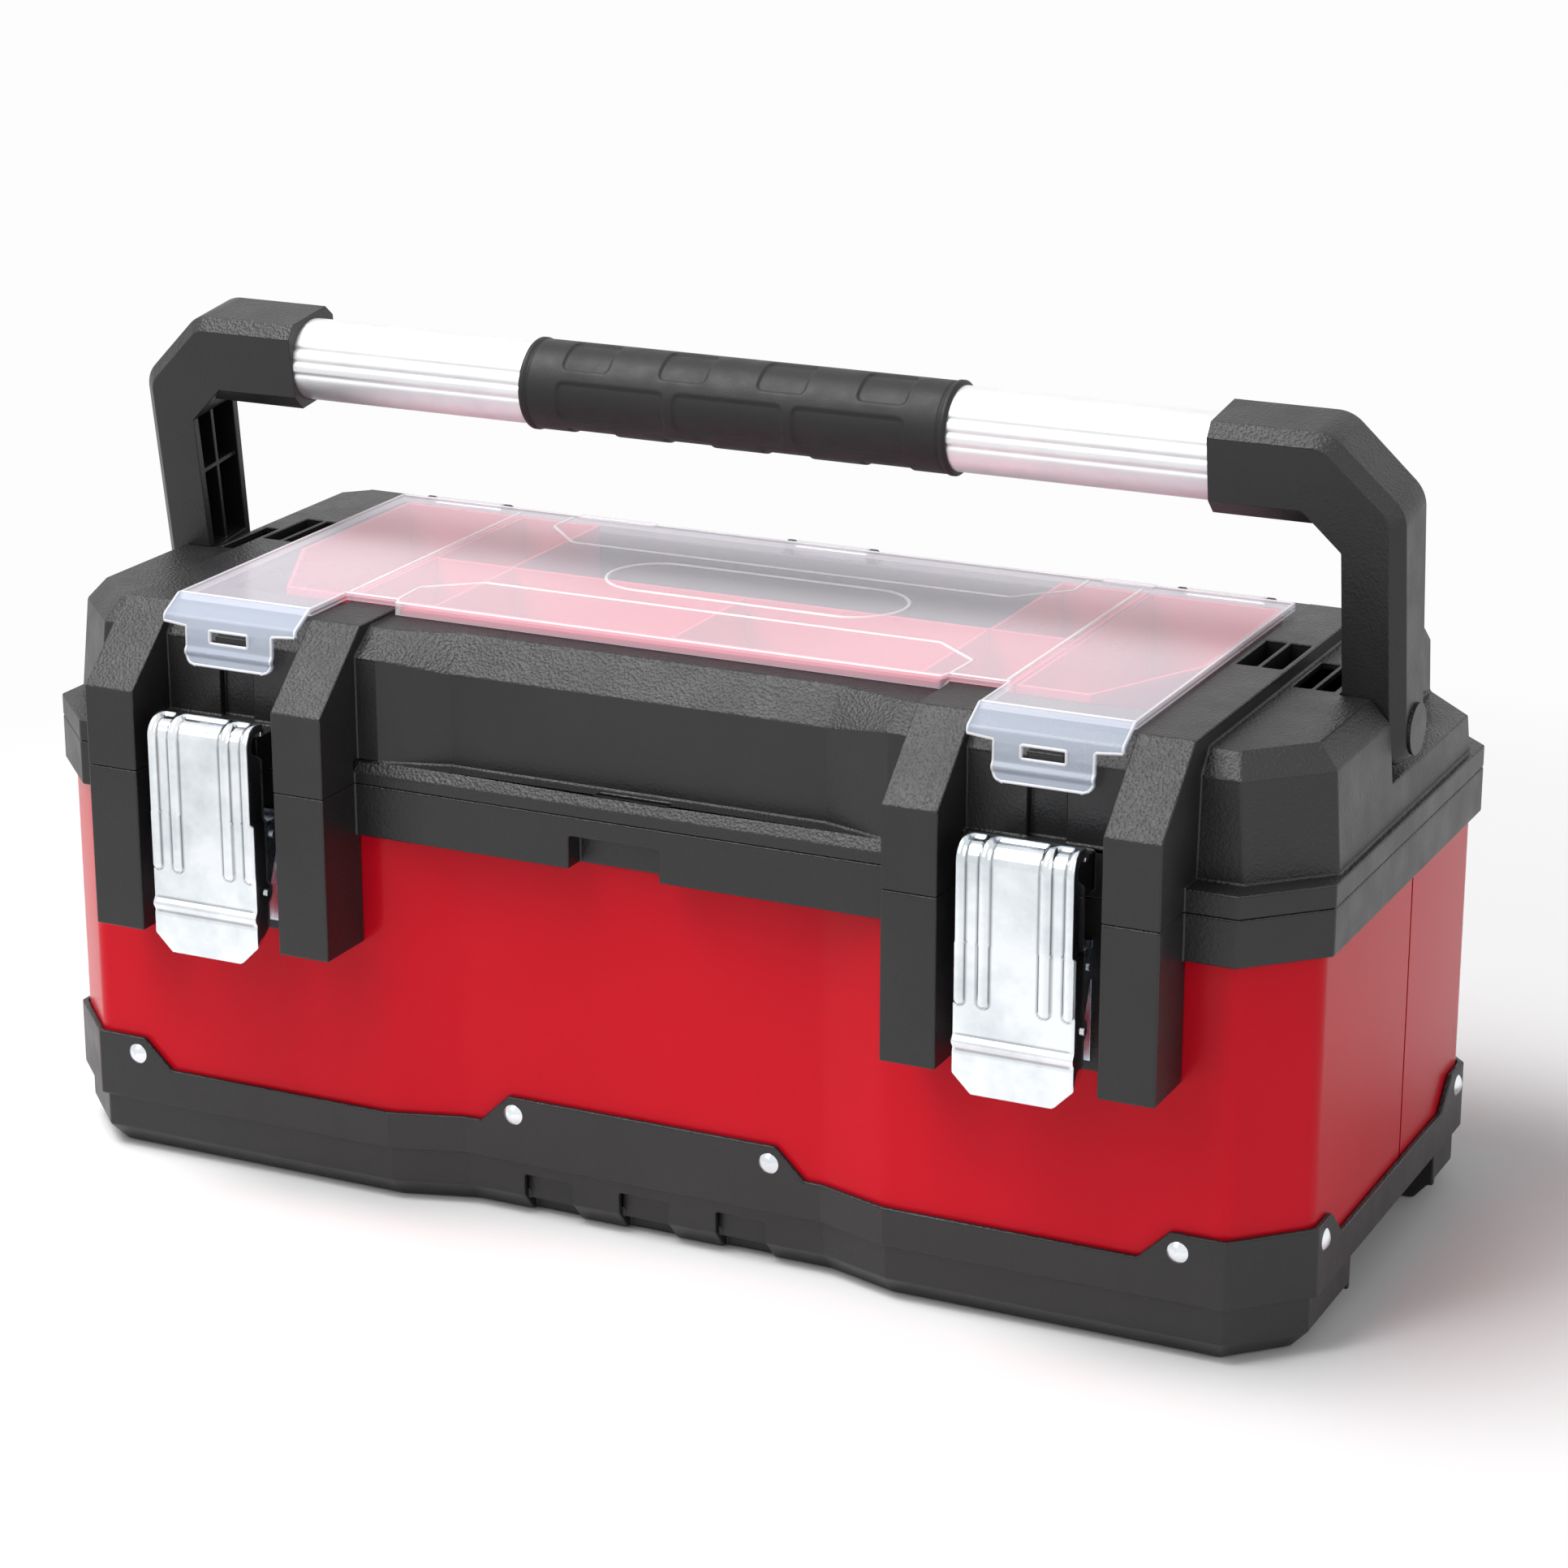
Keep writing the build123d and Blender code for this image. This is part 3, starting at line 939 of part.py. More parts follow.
def handle_grip():
    """Rubber sleeve with a raised collar at each end."""
    grip = rod(GRIP_R, -GRIP_HALF, GRIP_HALF, 0, TUBE_S)
    for side in SIDES:
        x0, x1 = span(side, GRIP_HALF - GRIP_COLLAR, GRIP_HALF)
        grip += rod(GRIP_COLLAR_R, x0, x1, 0, TUBE_S)
    return on_handle(grip - rod(TUBE_R, -GRIP_HALF, GRIP_HALF, 0, TUBE_S))


def pivot_cap(side):
    x0, x1 = span(side, ARM_OUTER_X, ARM_OUTER_X + PIVOT_CAP_H)
    return on_handle(rod(PIVOT_CAP_R, x0, x1, 0, 0))


# ---------------------------------------------------------------- latch pieces
def latch_bracket(x):
    """Zinc-plated bracket on the latch pad, with two ears for its pin."""
    back = RIM_FRONT_Y
    face = back - BRACKET_SHEET
    bracket = block(x - BRACKET_HALF, x + BRACKET_HALF, face, back, BRACKET_LOW, BRACKET_HIGH)
    for side in SIDES:
        x0, x1 = sorted((x + side * BRACKET_HALF, x + side * (BRACKET_HALF - BRACKET_SHEET)))
        ear = block(x0, x1, BRACKET_Y, back, BRACKET_Z - BRACKET_EYE_R * 2, BRACKET_Z + BRACKET_EYE_R)
        ear += rod(BRACKET_EYE_R, x0, x1, BRACKET_Y, BRACKET_Z)
        bracket += ear
        bracket -= rod(LATCH_PIN_R, x0, x1, BRACKET_Y, BRACKET_Z)
    return bracket


def latch_bracket_pin(x):
    reach = LINK_HALF + LATCH_PIN_OVER
    return rod(LATCH_PIN_R, x - reach, x + reach, BRACKET_Y, BRACKET_Z)


def link_frame():
    """Plane at the bracket's pin, its local Y pointing along the link to the lever's pin."""
    origin = Vector(0, BRACKET_Y, BRACKET_Z)
    along = Vector(0, LEVER_AXIS_Y, LEVER_AXIS_Z) - origin
    return along


def latch_link(x):
    """U-shaped link: two side arms and a web between them."""
    along = link_frame()
    length = along.length
    angle = math.degrees(math.atan2(along.Y, -along.Z))
    link = None
    for side in SIDES:
        x0, x1 = sorted((side * LINK_HALF, side * (LINK_HALF - LINK_SHEET)))
        arm = block(x0, x1, -LINK_EYE_R, LINK_EYE_R, -length, 0)
        arm += rod(LINK_EYE_R, x0, x1, 0, 0) + rod(LINK_EYE_R, x0, x1, 0, -length)
        link = arm if link is None else link + arm
    middle = -length * 0.62
    link += block(-LINK_HALF, LINK_HALF, -LINK_EYE_R, LINK_SHEET - LINK_EYE_R,
                  middle - LINK_WEB_HALF / 2, middle + LINK_WEB_HALF / 2)
    link -= rod(LATCH_PIN_R + RUN_GAP, -LINK_HALF, LINK_HALF, 0, 0)
    link -= rod(LATCH_PIN_R + RUN_GAP, -LINK_HALF, LINK_HALF, 0, -length)
    return Pos(x, BRACKET_Y, BRACKET_Z) * Rot(angle, 0, 0) * link


def lever_outline(half, low, high, cut):
    """Front view of the lever plate, its lower corners cut."""
    return [(-half, low + cut), (-half + cut, low), (half - cut, low), (half, low + cut), (half, high), (-half, high)]


def latch_lever(x):
    """Pressed lever plate: curled top, side flanges with ears, finger lip and ribs."""
    front = LEVER_FRONT_Y
    back = front + LEVER_SHEET
    lever = prism(lever_outline(LEVER_HALF, LEVER_LOW, LEVER_CURL_LOW, LEVER_CUT), front, back, Plane.XZ)
    curl = [(front, LEVER_CURL_LOW), (front, LEVER_CURL_LOW + 3), (front + 4.0, LEVER_CURL_TOP)]
    curl += [(LEVER_TIP_Y, LEVER_CURL_TOP), (LEVER_TIP_Y, LEVER_CURL_TOP - LEVER_SHEET)]
    curl += [(back + 3.2, LEVER_CURL_TOP - LEVER_SHEET), (back, LEVER_CURL_LOW + 2), (back, LEVER_CURL_LOW)]
    lever += prism(curl, -LEVER_HALF, LEVER_HALF, Plane.YZ)
    for side in SIDES:
        x0, x1 = sorted((side * LEVER_HALF, side * (LEVER_HALF - LEVER_SHEET)))
        flange = [(back, LEVER_FLANGE_LOW), (back, LEVER_CURL_LOW + 2)]
        flange += [(back + 3.2, LEVER_CURL_TOP - LEVER_SHEET), (LEVER_TIP_Y, LEVER_CURL_TOP - LEVER_SHEET)]
        flange += [(front + LEVER_FLANGE_DEPTH, LEVER_CURL_LOW - 8), (front + LEVER_FLANGE_DEPTH, LEVER_FLANGE_LOW + 6)]
        lever += prism(flange, x0, x1, Plane.YZ)
        lever += rod(LEVER_EAR_R, x0, x1, LEVER_AXIS_Y, LEVER_AXIS_Z)
        lever -= rod(LATCH_PIN_R, x0, x1, LEVER_AXIS_Y, LEVER_AXIS_Z)
        for rib_in in LEVER_RIB_IN:
            x0 = side * (LEVER_HALF - rib_in) - LEVER_RIB_WIDTH / 2
            rib = block(x0, x0 + LEVER_RIB_WIDTH, front - LEVER_RIB_H, front, LEVER_RIB_LOW, LEVER_CURL_LOW)
            lever += chamfer(rib.faces().sort_by(Axis.Y)[0].edges(), LEVER_RIB_H * 0.8)
    lever += rod(LEVER_BEAD_R, -LEVER_HALF, LEVER_HALF, front, LEVER_BEAD_Z)
    return Pos(x, 0, 0) * lever


def latch_lever_pin(x):
    reach = LEVER_HALF + LATCH_PIN_OVER
    return rod(LATCH_PIN_R, x - reach, x + reach, LEVER_AXIS_Y, LEVER_AXIS_Z)


# ---------------------------------------------------------------- tray
def tray_plan(inset, rear_y):
    """The case's plan cut off square at rear_y."""
    points = [p for p in case_plan(inset) if p[1] < 0]
    half = RIM_LENGTH / 2 - inset
    return points + [(half, rear_y), (-half, rear_y)]


def tray_inside():
    """Front and rear of the tray's inside."""
    front = RIM_FRONT_Y + LEDGE_INSET + TRAY_BODY_GAP + TRAY_WALL
    return front, TRAY_REAR_Y - TRAY_FLANGE - TRAY_WALL


def tool_tray():
    """Lift-out tray: flange on the ledge, and a body with the case's cut front corners."""
    low = TRAY_TOP - TRAY_DEPTH
    body_inset = LEDGE_INSET + TRAY_BODY_GAP
    tray = prism(tray_plan(MOUTH_INSET + TRAY_GAP, TRAY_REAR_Y), LEDGE_Z, TRAY_TOP)
    tray += prism(tray_plan(body_inset, TRAY_REAR_Y - TRAY_FLANGE), low, LEDGE_Z)
    return tray - prism(tray_plan(body_inset + TRAY_WALL, tray_inside()[1]), low + TRAY_WALL, TRAY_TOP)


def tray_divider(side):
    """Upright divider between the middle of the tray and one end pocket."""
    front, rear = tray_inside()
    x0, x1 = span(side, TRAY_DIVIDER_X - TRAY_WALL / 2, TRAY_DIVIDER_X + TRAY_WALL / 2)
    return block(x0, x1, front, rear, TRAY_TOP - TRAY_DEPTH + TRAY_WALL, TRAY_TOP)


def tray_grip():
    """Upright spine between the dividers, with a slot for the fingers."""
    middle = sum(tray_inside()) / 2
    y0 = middle - TRAY_GRIP_WALL / 2
    y1 = middle + TRAY_GRIP_WALL / 2
    reach = TRAY_DIVIDER_X - TRAY_WALL / 2
    spine = block(-reach, reach, y0, y1, TRAY_TOP - TRAY_DEPTH + TRAY_WALL, TRAY_TOP)
    half = TRAY_GRIP_LENGTH / 2
    slot_top = TRAY_TOP - TRAY_GRIP_BAR
    return spine - block(-half, half, y0, y1, slot_top - TRAY_GRIP_SLOT, slot_top)


# ---------------------------------------------------------------- write the pieces
def build_all():
    pieces = {
        "base_shell": base_shell(),
        "base_rivets": base_rivets(),
        "tub_front_sheet": tub_half(True),
        "tub_rear_sheet": tub_half(False),
        "body_rim": body_rim(),
        "lid_hinge_pins": lid_hinge_pins(),
        "lid_shell": lid_shell(),
        "cover_hinge_pins": cover_hinge_pins(),
        "handle_pivot_pins": handle_pivot_pins(),
        "organiser_bin_centre": centre_bin(),
        "clear_cover": clear_cover(),
        "handle_tube": handle_tube(),
        "handle_grip": handle_grip(),
        "tool_tray": tool_tray(),
        "tray_grip": tray_grip(),
    }
    for name, side in (("left", -1), ("right", 1)):
        pieces["organiser_bin_" + name] = side_bin(side)
        pieces["handle_arm_" + name] = handle_arm(side)
        pieces["pivot_cap_" + name] = pivot_cap(side)
        pieces["latch_bracket_" + name] = latch_bracket(BAYS[name])
        pieces["latch_bracket_pin_" + name] = latch_bracket_pin(BAYS[name])
        pieces["latch_link_" + name] = latch_link(BAYS[name])
        pieces["latch_lever_" + name] = latch_lever(BAYS[name])
        pieces["latch_lever_pin_" + name] = latch_lever_pin(BAYS[name])
        pieces["tray_divider_" + name] = tray_divider(side)
    return pieces


os.makedirs("parts", exist_ok=True)
for node, shape in build_all().items():
    solids = shape if isinstance(shape, list) else [shape]
    solids = [solid for piece in solids for solid in piece.solids()]
    export_step(Compound(children=solids) if len(solids) > 1 else solids[0], "parts/" + node + ".step")
    print(node, len(solids), "solid(s)")
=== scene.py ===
import bpy
import bmesh
import json
import math
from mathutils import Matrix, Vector


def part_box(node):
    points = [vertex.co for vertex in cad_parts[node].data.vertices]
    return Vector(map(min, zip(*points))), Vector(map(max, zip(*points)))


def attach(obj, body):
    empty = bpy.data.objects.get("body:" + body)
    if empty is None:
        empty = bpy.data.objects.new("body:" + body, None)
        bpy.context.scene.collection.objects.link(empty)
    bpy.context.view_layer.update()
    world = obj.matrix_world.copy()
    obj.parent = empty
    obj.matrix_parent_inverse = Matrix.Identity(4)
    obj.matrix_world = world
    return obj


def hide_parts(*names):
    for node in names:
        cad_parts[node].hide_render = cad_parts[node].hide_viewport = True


# Looks for the toolbox: camera, studio, materials, rounded edges and the pieces that stand for plain CAD solids.
# All in the CAD's own frame: X left to right, -Y towards the viewer, Z up. The numbers of shapes are in mm and are
# turned into Blender's metres by MM; those of the studio and the materials are in metres.
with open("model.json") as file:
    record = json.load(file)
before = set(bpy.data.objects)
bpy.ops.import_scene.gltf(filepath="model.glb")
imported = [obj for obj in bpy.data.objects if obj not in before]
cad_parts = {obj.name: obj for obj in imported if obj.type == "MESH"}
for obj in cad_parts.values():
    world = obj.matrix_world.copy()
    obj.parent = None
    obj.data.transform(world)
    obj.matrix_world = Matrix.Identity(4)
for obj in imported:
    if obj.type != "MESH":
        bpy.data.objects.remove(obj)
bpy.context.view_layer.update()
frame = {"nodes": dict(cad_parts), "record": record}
nodes = frame["nodes"]
MM = 0.001
SIDES = (("left", -1), ("right", 1))
BAY = 175.85                # middle of each latch bay, in mm from the middle of the box


# ---------------------------------------------------------------- camera and studio
CAMERA_PLACE = (0.71683, -1.47677, 0.69908)
CAMERA_AIM = (-0.4097, 0.8575, -0.3112)
CAMERA_LENS = 95.79
FLOOR_REACH = 8.0
FLOOR_DROP = 0.0006         # the floor lies this far below the feet
FLOOR_FADES = (0.36, 0.80)  # from here to here the floor turns into the white backdrop


def add_camera():
    data = bpy.data.cameras.new("camera")
    data.sensor_width = 36.0
    data.lens = CAMERA_LENS
    data.clip_start = 0.05
    data.clip_end = 50.0
    camera = bpy.data.objects.new("camera", data)
    camera.location = CAMERA_PLACE
    camera.rotation_mode = "QUATERNION"
    camera.rotation_quaternion = Vector(CAMERA_AIM).to_track_quat("-Z", "Y")
    bpy.context.scene.collection.objects.link(camera)
    bpy.context.scene.camera = camera


def add_softbox(name, place, target, size, power):
    data = bpy.data.lights.new(name, "AREA")
    data.shape = "RECTANGLE"
    data.size, data.size_y = size
    data.energy = power
    lamp = bpy.data.objects.new(name, data)
    lamp.location = place
    lamp.rotation_mode = "QUATERNION"
    lamp.rotation_quaternion = (Vector(target) - Vector(place)).to_track_quat("-Z", "Y")
    bpy.context.scene.collection.objects.link(lamp)


def seen_directly(tree):
    """1 for camera, mirror and glass rays, 0 for all others."""
    path = tree.nodes.new("ShaderNodeLightPath")
    seen = path.outputs["Is Camera Ray"]
    for kind in ("Is Glossy Ray", "Is Transmission Ray"):
        seen = maths(tree, "MAXIMUM", seen, path.outputs[kind])
    return seen


def mix_shaders(tree, factor, first, second):
    mix = tree.nodes.new("ShaderNodeMixShader")
    tree.links.new(factor, mix.inputs[0])
    tree.links.new(first.outputs[0], mix.inputs[1])
    tree.links.new(second.outputs[0], mix.inputs[2])
    return mix


def add_world():
    """Plain soft light, and a white backdrop for camera, mirror and glass rays."""
    world = bpy.data.worlds.new("studio")
    world.use_nodes = True
    tree = world.node_tree
    tree.nodes.clear()
    lit = tree.nodes.new("ShaderNodeBackground")
    lit.inputs["Color"].default_value = (0.97, 0.98, 1.0, 1.0)
    lit.inputs["Strength"].default_value = 0.36
    shown = tree.nodes.new("ShaderNodeBackground")
    shown.inputs["Color"].default_value = (1.0, 1.0, 1.0, 1.0)
    shown.inputs["Strength"].default_value = 1.0
    out = tree.nodes.new("ShaderNodeOutputWorld")
    tree.links.new(mix_shaders(tree, seen_directly(tree), lit, shown).outputs[0], out.inputs["Surface"])
    bpy.context.scene.world = world


def add_floor():
    """Pale floor that keeps the shadow near the object and joins the white backdrop further out."""
    mesh = bpy.data.meshes.new("floor")
    reach = FLOOR_REACH
    corners = [(-reach, -reach, 0), (reach, -reach, 0), (reach, reach, 0), (-reach, reach, 0)]
    mesh.from_pydata(corners, [], [(0, 1, 2, 3)])
    floor = bpy.data.objects.new("floor", mesh)
    floor.location.z = -FLOOR_DROP
    material, tree, shader = new_material("floor")
    shader.inputs["Base Color"].default_value = (0.93, 0.93, 0.93, 1.0)
    shader.inputs["Roughness"].default_value = 0.8
    shader.inputs["Specular IOR Level"].default_value = 0.1
    white = tree.nodes.new("ShaderNodeEmission")
    white.inputs["Color"].default_value = (1.0, 1.0, 1.0, 1.0)
    white.inputs["Strength"].default_value = 0.98
    away = tree.nodes.new("ShaderNodeVectorMath")
    away.operation = "LENGTH"
    tree.links.new(texture_place(tree), away.inputs[0])
    far = remap(tree, away.outputs["Value"], *FLOOR_FADES, 0.0, 1.0)
    joined = mix_shaders(tree, maths(tree, "MULTIPLY", far, seen_directly(tree)), shader, white)
    tree.links.new(joined.outputs[0], tree.nodes["Material Output"].inputs["Surface"])
    mesh.materials.append(material)
    bpy.context.scene.collection.objects.link(floor)


# ---------------------------------------------------------------- material helpers
def new_material(name):
    material = bpy.data.materials.new(name)
    material.use_nodes = True
    tree = material.node_tree
    return material, tree, tree.nodes["Principled BSDF"]


def texture_place(tree):
    return tree.nodes.new("ShaderNodeTexCoord").outputs["Object"]


def noise(tree, place, scale, detail=2.0, roughness=0.5, stretch=None):
    """Noise by object place, stretched along the axes if asked."""
    if stretch:
        mapping = tree.nodes.new("ShaderNodeMapping")
        mapping.inputs["Scale"].default_value = stretch
        tree.links.new(place, mapping.inputs["Vector"])
        place = mapping.outputs[0]
    node = tree.nodes.new("ShaderNodeTexNoise")
    node.inputs["Scale"].default_value = scale
    node.inputs["Detail"].default_value = detail
    node.inputs["Roughness"].default_value = roughness
    tree.links.new(place, node.inputs["Vector"])
    return node.outputs["Fac"]


def remap(tree, value, low, high, to_low, to_high):
    node = tree.nodes.new("ShaderNodeMapRange")
    node.inputs["From Min"].default_value = low
    node.inputs["From Max"].default_value = high
    node.inputs["To Min"].default_value = to_low
    node.inputs["To Max"].default_value = to_high
    tree.links.new(value, node.inputs["Value"])
    return node.outputs["Result"]


def set_or_link(tree, sockets, values):
    """Gives each socket its value, which is a plain one or another node's output."""
    for socket, value in zip(sockets, values):
        if isinstance(value, bpy.types.NodeSocket):
            tree.links.new(value, socket)
        else:
            socket.default_value = value


def maths(tree, operation, a, b):
    node = tree.nodes.new("ShaderNodeMath")
    node.operation = operation
    set_or_link(tree, node.inputs[:2], (a, b))
    return node.outputs[0]


def mix_colour(tree, factor, first, second):
    node = tree.nodes.new("ShaderNodeMix")
    node.data_type = "RGBA"
    tree.links.new(factor, node.inputs["Factor"])
    set_or_link(tree, node.inputs[6:8], (first, second))    # its colour sockets A and B
    return node.outputs[2]


def bump(tree, shader, height, distance, strength):
    node = tree.nodes.new("ShaderNodeBump")
    node.inputs["Strength"].default_value = strength
    node.inputs["Distance"].default_value = distance
    tree.links.new(height, node.inputs["Height"])
    tree.links.new(node.outputs[0], shader.inputs["Normal"])


def facing_up(tree):
    """0 on upright faces, 1 on level and sloping ones that face up."""
    normal = tree.nodes.new("ShaderNodeTexCoord").outputs["Normal"]
    split = tree.nodes.new("ShaderNodeSeparateXYZ")
    tree.links.new(normal, split.inputs[0])
    return remap(tree, split.outputs["Z"], 0.05, 0.35, 0.0, 1.0)


def crease_shade(tree):
    """Mask for painted shade: 0 in the tight inner corners of a pressed shape and 1 elsewhere, from the mesh's own
    shape.
    """
    point = tree.nodes.new("ShaderNodeNewGeometry").outputs["Pointiness"]
    return remap(tree, point, 0.455, 0.496, 0.0, 1.0)


# ---------------------------------------------------------------- materials
def black_plastic():
    """Moulded black with a leather grain, which is weaker on upright faces."""
    material, tree, shader = new_material("black_plastic")
    place = texture_place(tree)
    cells = tree.nodes.new("ShaderNodeTexVoronoi")
    cells.feature = "SMOOTH_F1"
    cells.inputs["Scale"].default_value = 820.0
    cells.inputs["Smoothness"].default_value = 0.6
    tree.links.new(place, cells.inputs["Vector"])
    wrinkles = noise(tree, place, 1500.0, 3.0, 0.6)
    coarse = maths(tree, "MULTIPLY", cells.outputs["Distance"], 0.7)
    grain = maths(tree, "ADD", coarse, maths(tree, "MULTIPLY", wrinkles, 0.5))
    strength = remap(tree, facing_up(tree), 0.0, 1.0, 0.25, 1.0)
    bump(tree, shader, maths(tree, "MULTIPLY", grain, strength), 0.00045, 1.0)
    patches = remap(tree, noise(tree, place, 14.0, 3.0), 0.35, 0.65, 0.0, 1.0)
    colour = mix_colour(tree, patches, (0.0090, 0.0085, 0.0096, 1), (0.0128, 0.0121, 0.0134, 1))
    tree.links.new(colour, shader.inputs["Base Color"])
    rough = remap(tree, noise(tree, place, 60.0, 4.0), 0.3, 0.7, 0.36, 0.46)
    tree.links.new(rough, shader.inputs["Roughness"])
    shader.inputs["Specular IOR Level"].default_value = 0.5
    return material


def red_paint():
    """Smooth enamel on sheet steel, with a slow wave and a faint peel."""
    material, tree, shader = new_material("red_paint")
    place = texture_place(tree)
    flow = remap(tree, noise(tree, place, 9.0, 2.0), 0.3, 0.7, 0.0, 1.0)
    colour = mix_colour(tree, flow, (0.55, 0.0035, 0.013, 1), (0.59, 0.005, 0.017, 1))
    tree.links.new(colour, shader.inputs["Base Color"])
    shader.inputs["Roughness"].default_value = 0.22
    shader.inputs["Specular IOR Level"].default_value = 0.12
    peel = noise(tree, place, 260.0, 2.0)
    wave = noise(tree, place, 16.0, 1.0)
    bump(tree, shader, maths(tree, "ADD", maths(tree, "MULTIPLY", peel, 0.06), wave), 0.00035, 0.5)
    return material


def red_plastic():
    """The bins' red, somewhat pinker than the paint."""
    material, tree, shader = new_material("red_plastic")
    place = texture_place(tree)
    colour = mix_colour(tree, noise(tree, place, 22.0, 3.0), (0.70, 0.018, 0.068, 1), (0.77, 0.027, 0.088, 1))
    tree.links.new(colour, shader.inputs["Base Color"])
    tree.links.new(remap(tree, noise(tree, place, 90.0, 3.0), 0.3, 0.7, 0.28, 0.4), shader.inputs["Roughness"])
    bump(tree, shader, noise(tree, place, 500.0, 2.0), 0.00005, 0.5)
    return material


def lets_light_in(tree, shader, opacity):
    """Alpha that hides the given share from view, but none of the light that reaches what lies behind."""
    path = tree.nodes.new("ShaderNodeLightPath")
    unseen = maths(tree, "MAXIMUM", path.outputs["Is Shadow Ray"], path.outputs["Is Diffuse Ray"])
    kept = maths(tree, "SUBTRACT", 1.0, unseen)
    tree.links.new(maths(tree, "MULTIPLY", opacity, kept), shader.inputs["Alpha"])


def clear_plastic(name, dark, light, thin, thick):
    """Milky clear plastic: a thin white veil over what lies behind it."""
    material, tree, shader = new_material(name)
    place = texture_place(tree)
    tree.links.new(mix_colour(tree, noise(tree, place, 12.0, 2.0), dark, light), shader.inputs["Base Color"])
    haze = remap(tree, noise(tree, place, 35.0, 3.0), 0.3, 0.7, 0.14, 0.22)
    tree.links.new(haze, shader.inputs["Roughness"])
    lets_light_in(tree, shader, remap(tree, noise(tree, place, 5.0, 2.0), 0.3, 0.7, thin, thick))
    bump(tree, shader, noise(tree, place, 30.0, 2.0), 0.0002, 0.3)
    return material


def clear_edge_highlight():
    """The same plastic where it is cut or stands up, whiter and less clear than the rest: painted highlight for the
    white shine of those edges.
    """
    material, tree, shader = new_material("clear_edge_highlight")
    place = texture_place(tree)
    # Painted highlight: the whiter colour and the higher alpha below stand in for the shine of the cut and upright
    # edges.
    colour = mix_colour(tree, noise(tree, place, 60.0, 2.0), (0.88, 0.87, 0.89, 1), (0.93, 0.92, 0.94, 1))
    tree.links.new(colour, shader.inputs["Base Color"])
    shader.inputs["Roughness"].default_value = 0.2
    lets_light_in(tree, shader, remap(tree, noise(tree, place, 40.0, 2.0), 0.3, 0.7, 0.55, 0.75))
    return material


def metal(name, dark, light, low, high, stretch, scale, depth, wave=0.0):
    """Plated or brushed metal with a stretched grain and, if asked, a slow waviness and painted shade in its creases.
    """
    material, tree, shader = new_material(name)
    place = texture_place(tree)
    grain = noise(tree, place, scale, 3.0, 0.6, stretch)
    height = grain
    patches = remap(tree, noise(tree, place, 38.0, 4.0, 0.6), 0.35, 0.6, 0.0, 1.0)
    colour = mix_colour(tree, patches, dark, light)
    if wave:
        # Painted shade: the creases are darkened towards a dark blue-grey, standing in for the shade and dark
        # reflections along the pressed ribs.
        colour = mix_colour(tree, crease_shade(tree), (0.05, 0.055, 0.065, 1), colour)
        slow = maths(tree, "MULTIPLY", noise(tree, place, 45.0, 1.0), wave)
        height = maths(tree, "ADD", maths(tree, "MULTIPLY", grain, 0.05), slow)
    tree.links.new(colour, shader.inputs["Base Color"])
    tree.links.new(remap(tree, grain, 0.3, 0.7, low, high), shader.inputs["Roughness"])
    shader.inputs["Metallic"].default_value = 1.0
    bump(tree, shader, height, depth, 0.6)
    return material


def black_rubber():
    material, tree, shader = new_material("black_rubber")
    place = texture_place(tree)
    colour = mix_colour(tree, noise(tree, place, 25.0, 3.0), (0.010, 0.0097, 0.0102, 1), (0.016, 0.0155, 0.016, 1))
    tree.links.new(colour, shader.inputs["Base Color"])
    tree.links.new(remap(tree, noise(tree, place, 120.0, 3.0), 0.3, 0.7, 0.46, 0.58), shader.inputs["Roughness"])
    shader.inputs["Specular IOR Level"].default_value = 0.35
    bump(tree, shader, noise(tree, place, 1400.0, 2.0), 0.00008, 0.7)
    return material


def make_materials():
    upright = {"stretch": (1.0, 1.0, 0.12), "scale": 900.0}
    lengthwise = {"stretch": (0.03, 1.0, 1.0), "scale": 2600.0}
    return {
        "black_plastic": black_plastic(),
        "red_paint": red_paint(),
        "red_plastic": red_plastic(),
        "clear_plastic": clear_plastic("clear_plastic", (0.92, 0.87, 0.96, 1), (0.96, 0.92, 0.99, 1), 0.30, 0.35),
        "clear_lip": clear_plastic("clear_lip", (0.62, 0.70, 0.86, 1), (0.72, 0.78, 0.90, 1), 0.30, 0.37),
        "clear_edge_highlight": clear_edge_highlight(),
        "bright_steel": metal("bright_steel", (0.66, 0.71, 0.74, 1), (0.86, 0.89, 0.92, 1), 0.08, 0.17,
                              depth=0.0006, wave=0.4, **upright),
        "zinc_steel": metal("zinc_steel", (0.50, 0.60, 0.72, 1), (0.68, 0.76, 0.86, 1), 0.18, 0.3,
                            depth=0.0003, wave=0.3, **upright),
        "pin_steel": metal("pin_steel", (0.62, 0.62, 0.63, 1), (0.74, 0.74, 0.75, 1), 0.22, 0.32,
                           depth=0.0001, **upright),
        "satin_aluminium": metal("satin_aluminium", (0.76, 0.76, 0.78, 1), (0.82, 0.82, 0.83, 1), 0.42, 0.52,
                                 depth=0.00006, **lengthwise),
        "black_rubber": black_rubber(),
    }


# ---------------------------------------------------------------- CAD nodes: materials and rounded edges
# Radius of each moulded piece's edges, in mm.
HOLED_EDGES = {"base_shell": 0.8, "body_rim": 0.9, "lid_shell": 0.8, "organiser_bin_centre": 0.5}
PLAIN_EDGES = {"handle_arm_left": 1.6, "handle_arm_right": 1.6, "organiser_bin_left": 0.5, "organiser_bin_right": 0.5,
               "tool_tray": 0.7, "latch_bracket_left": 0.3, "latch_bracket_right": 0.3}


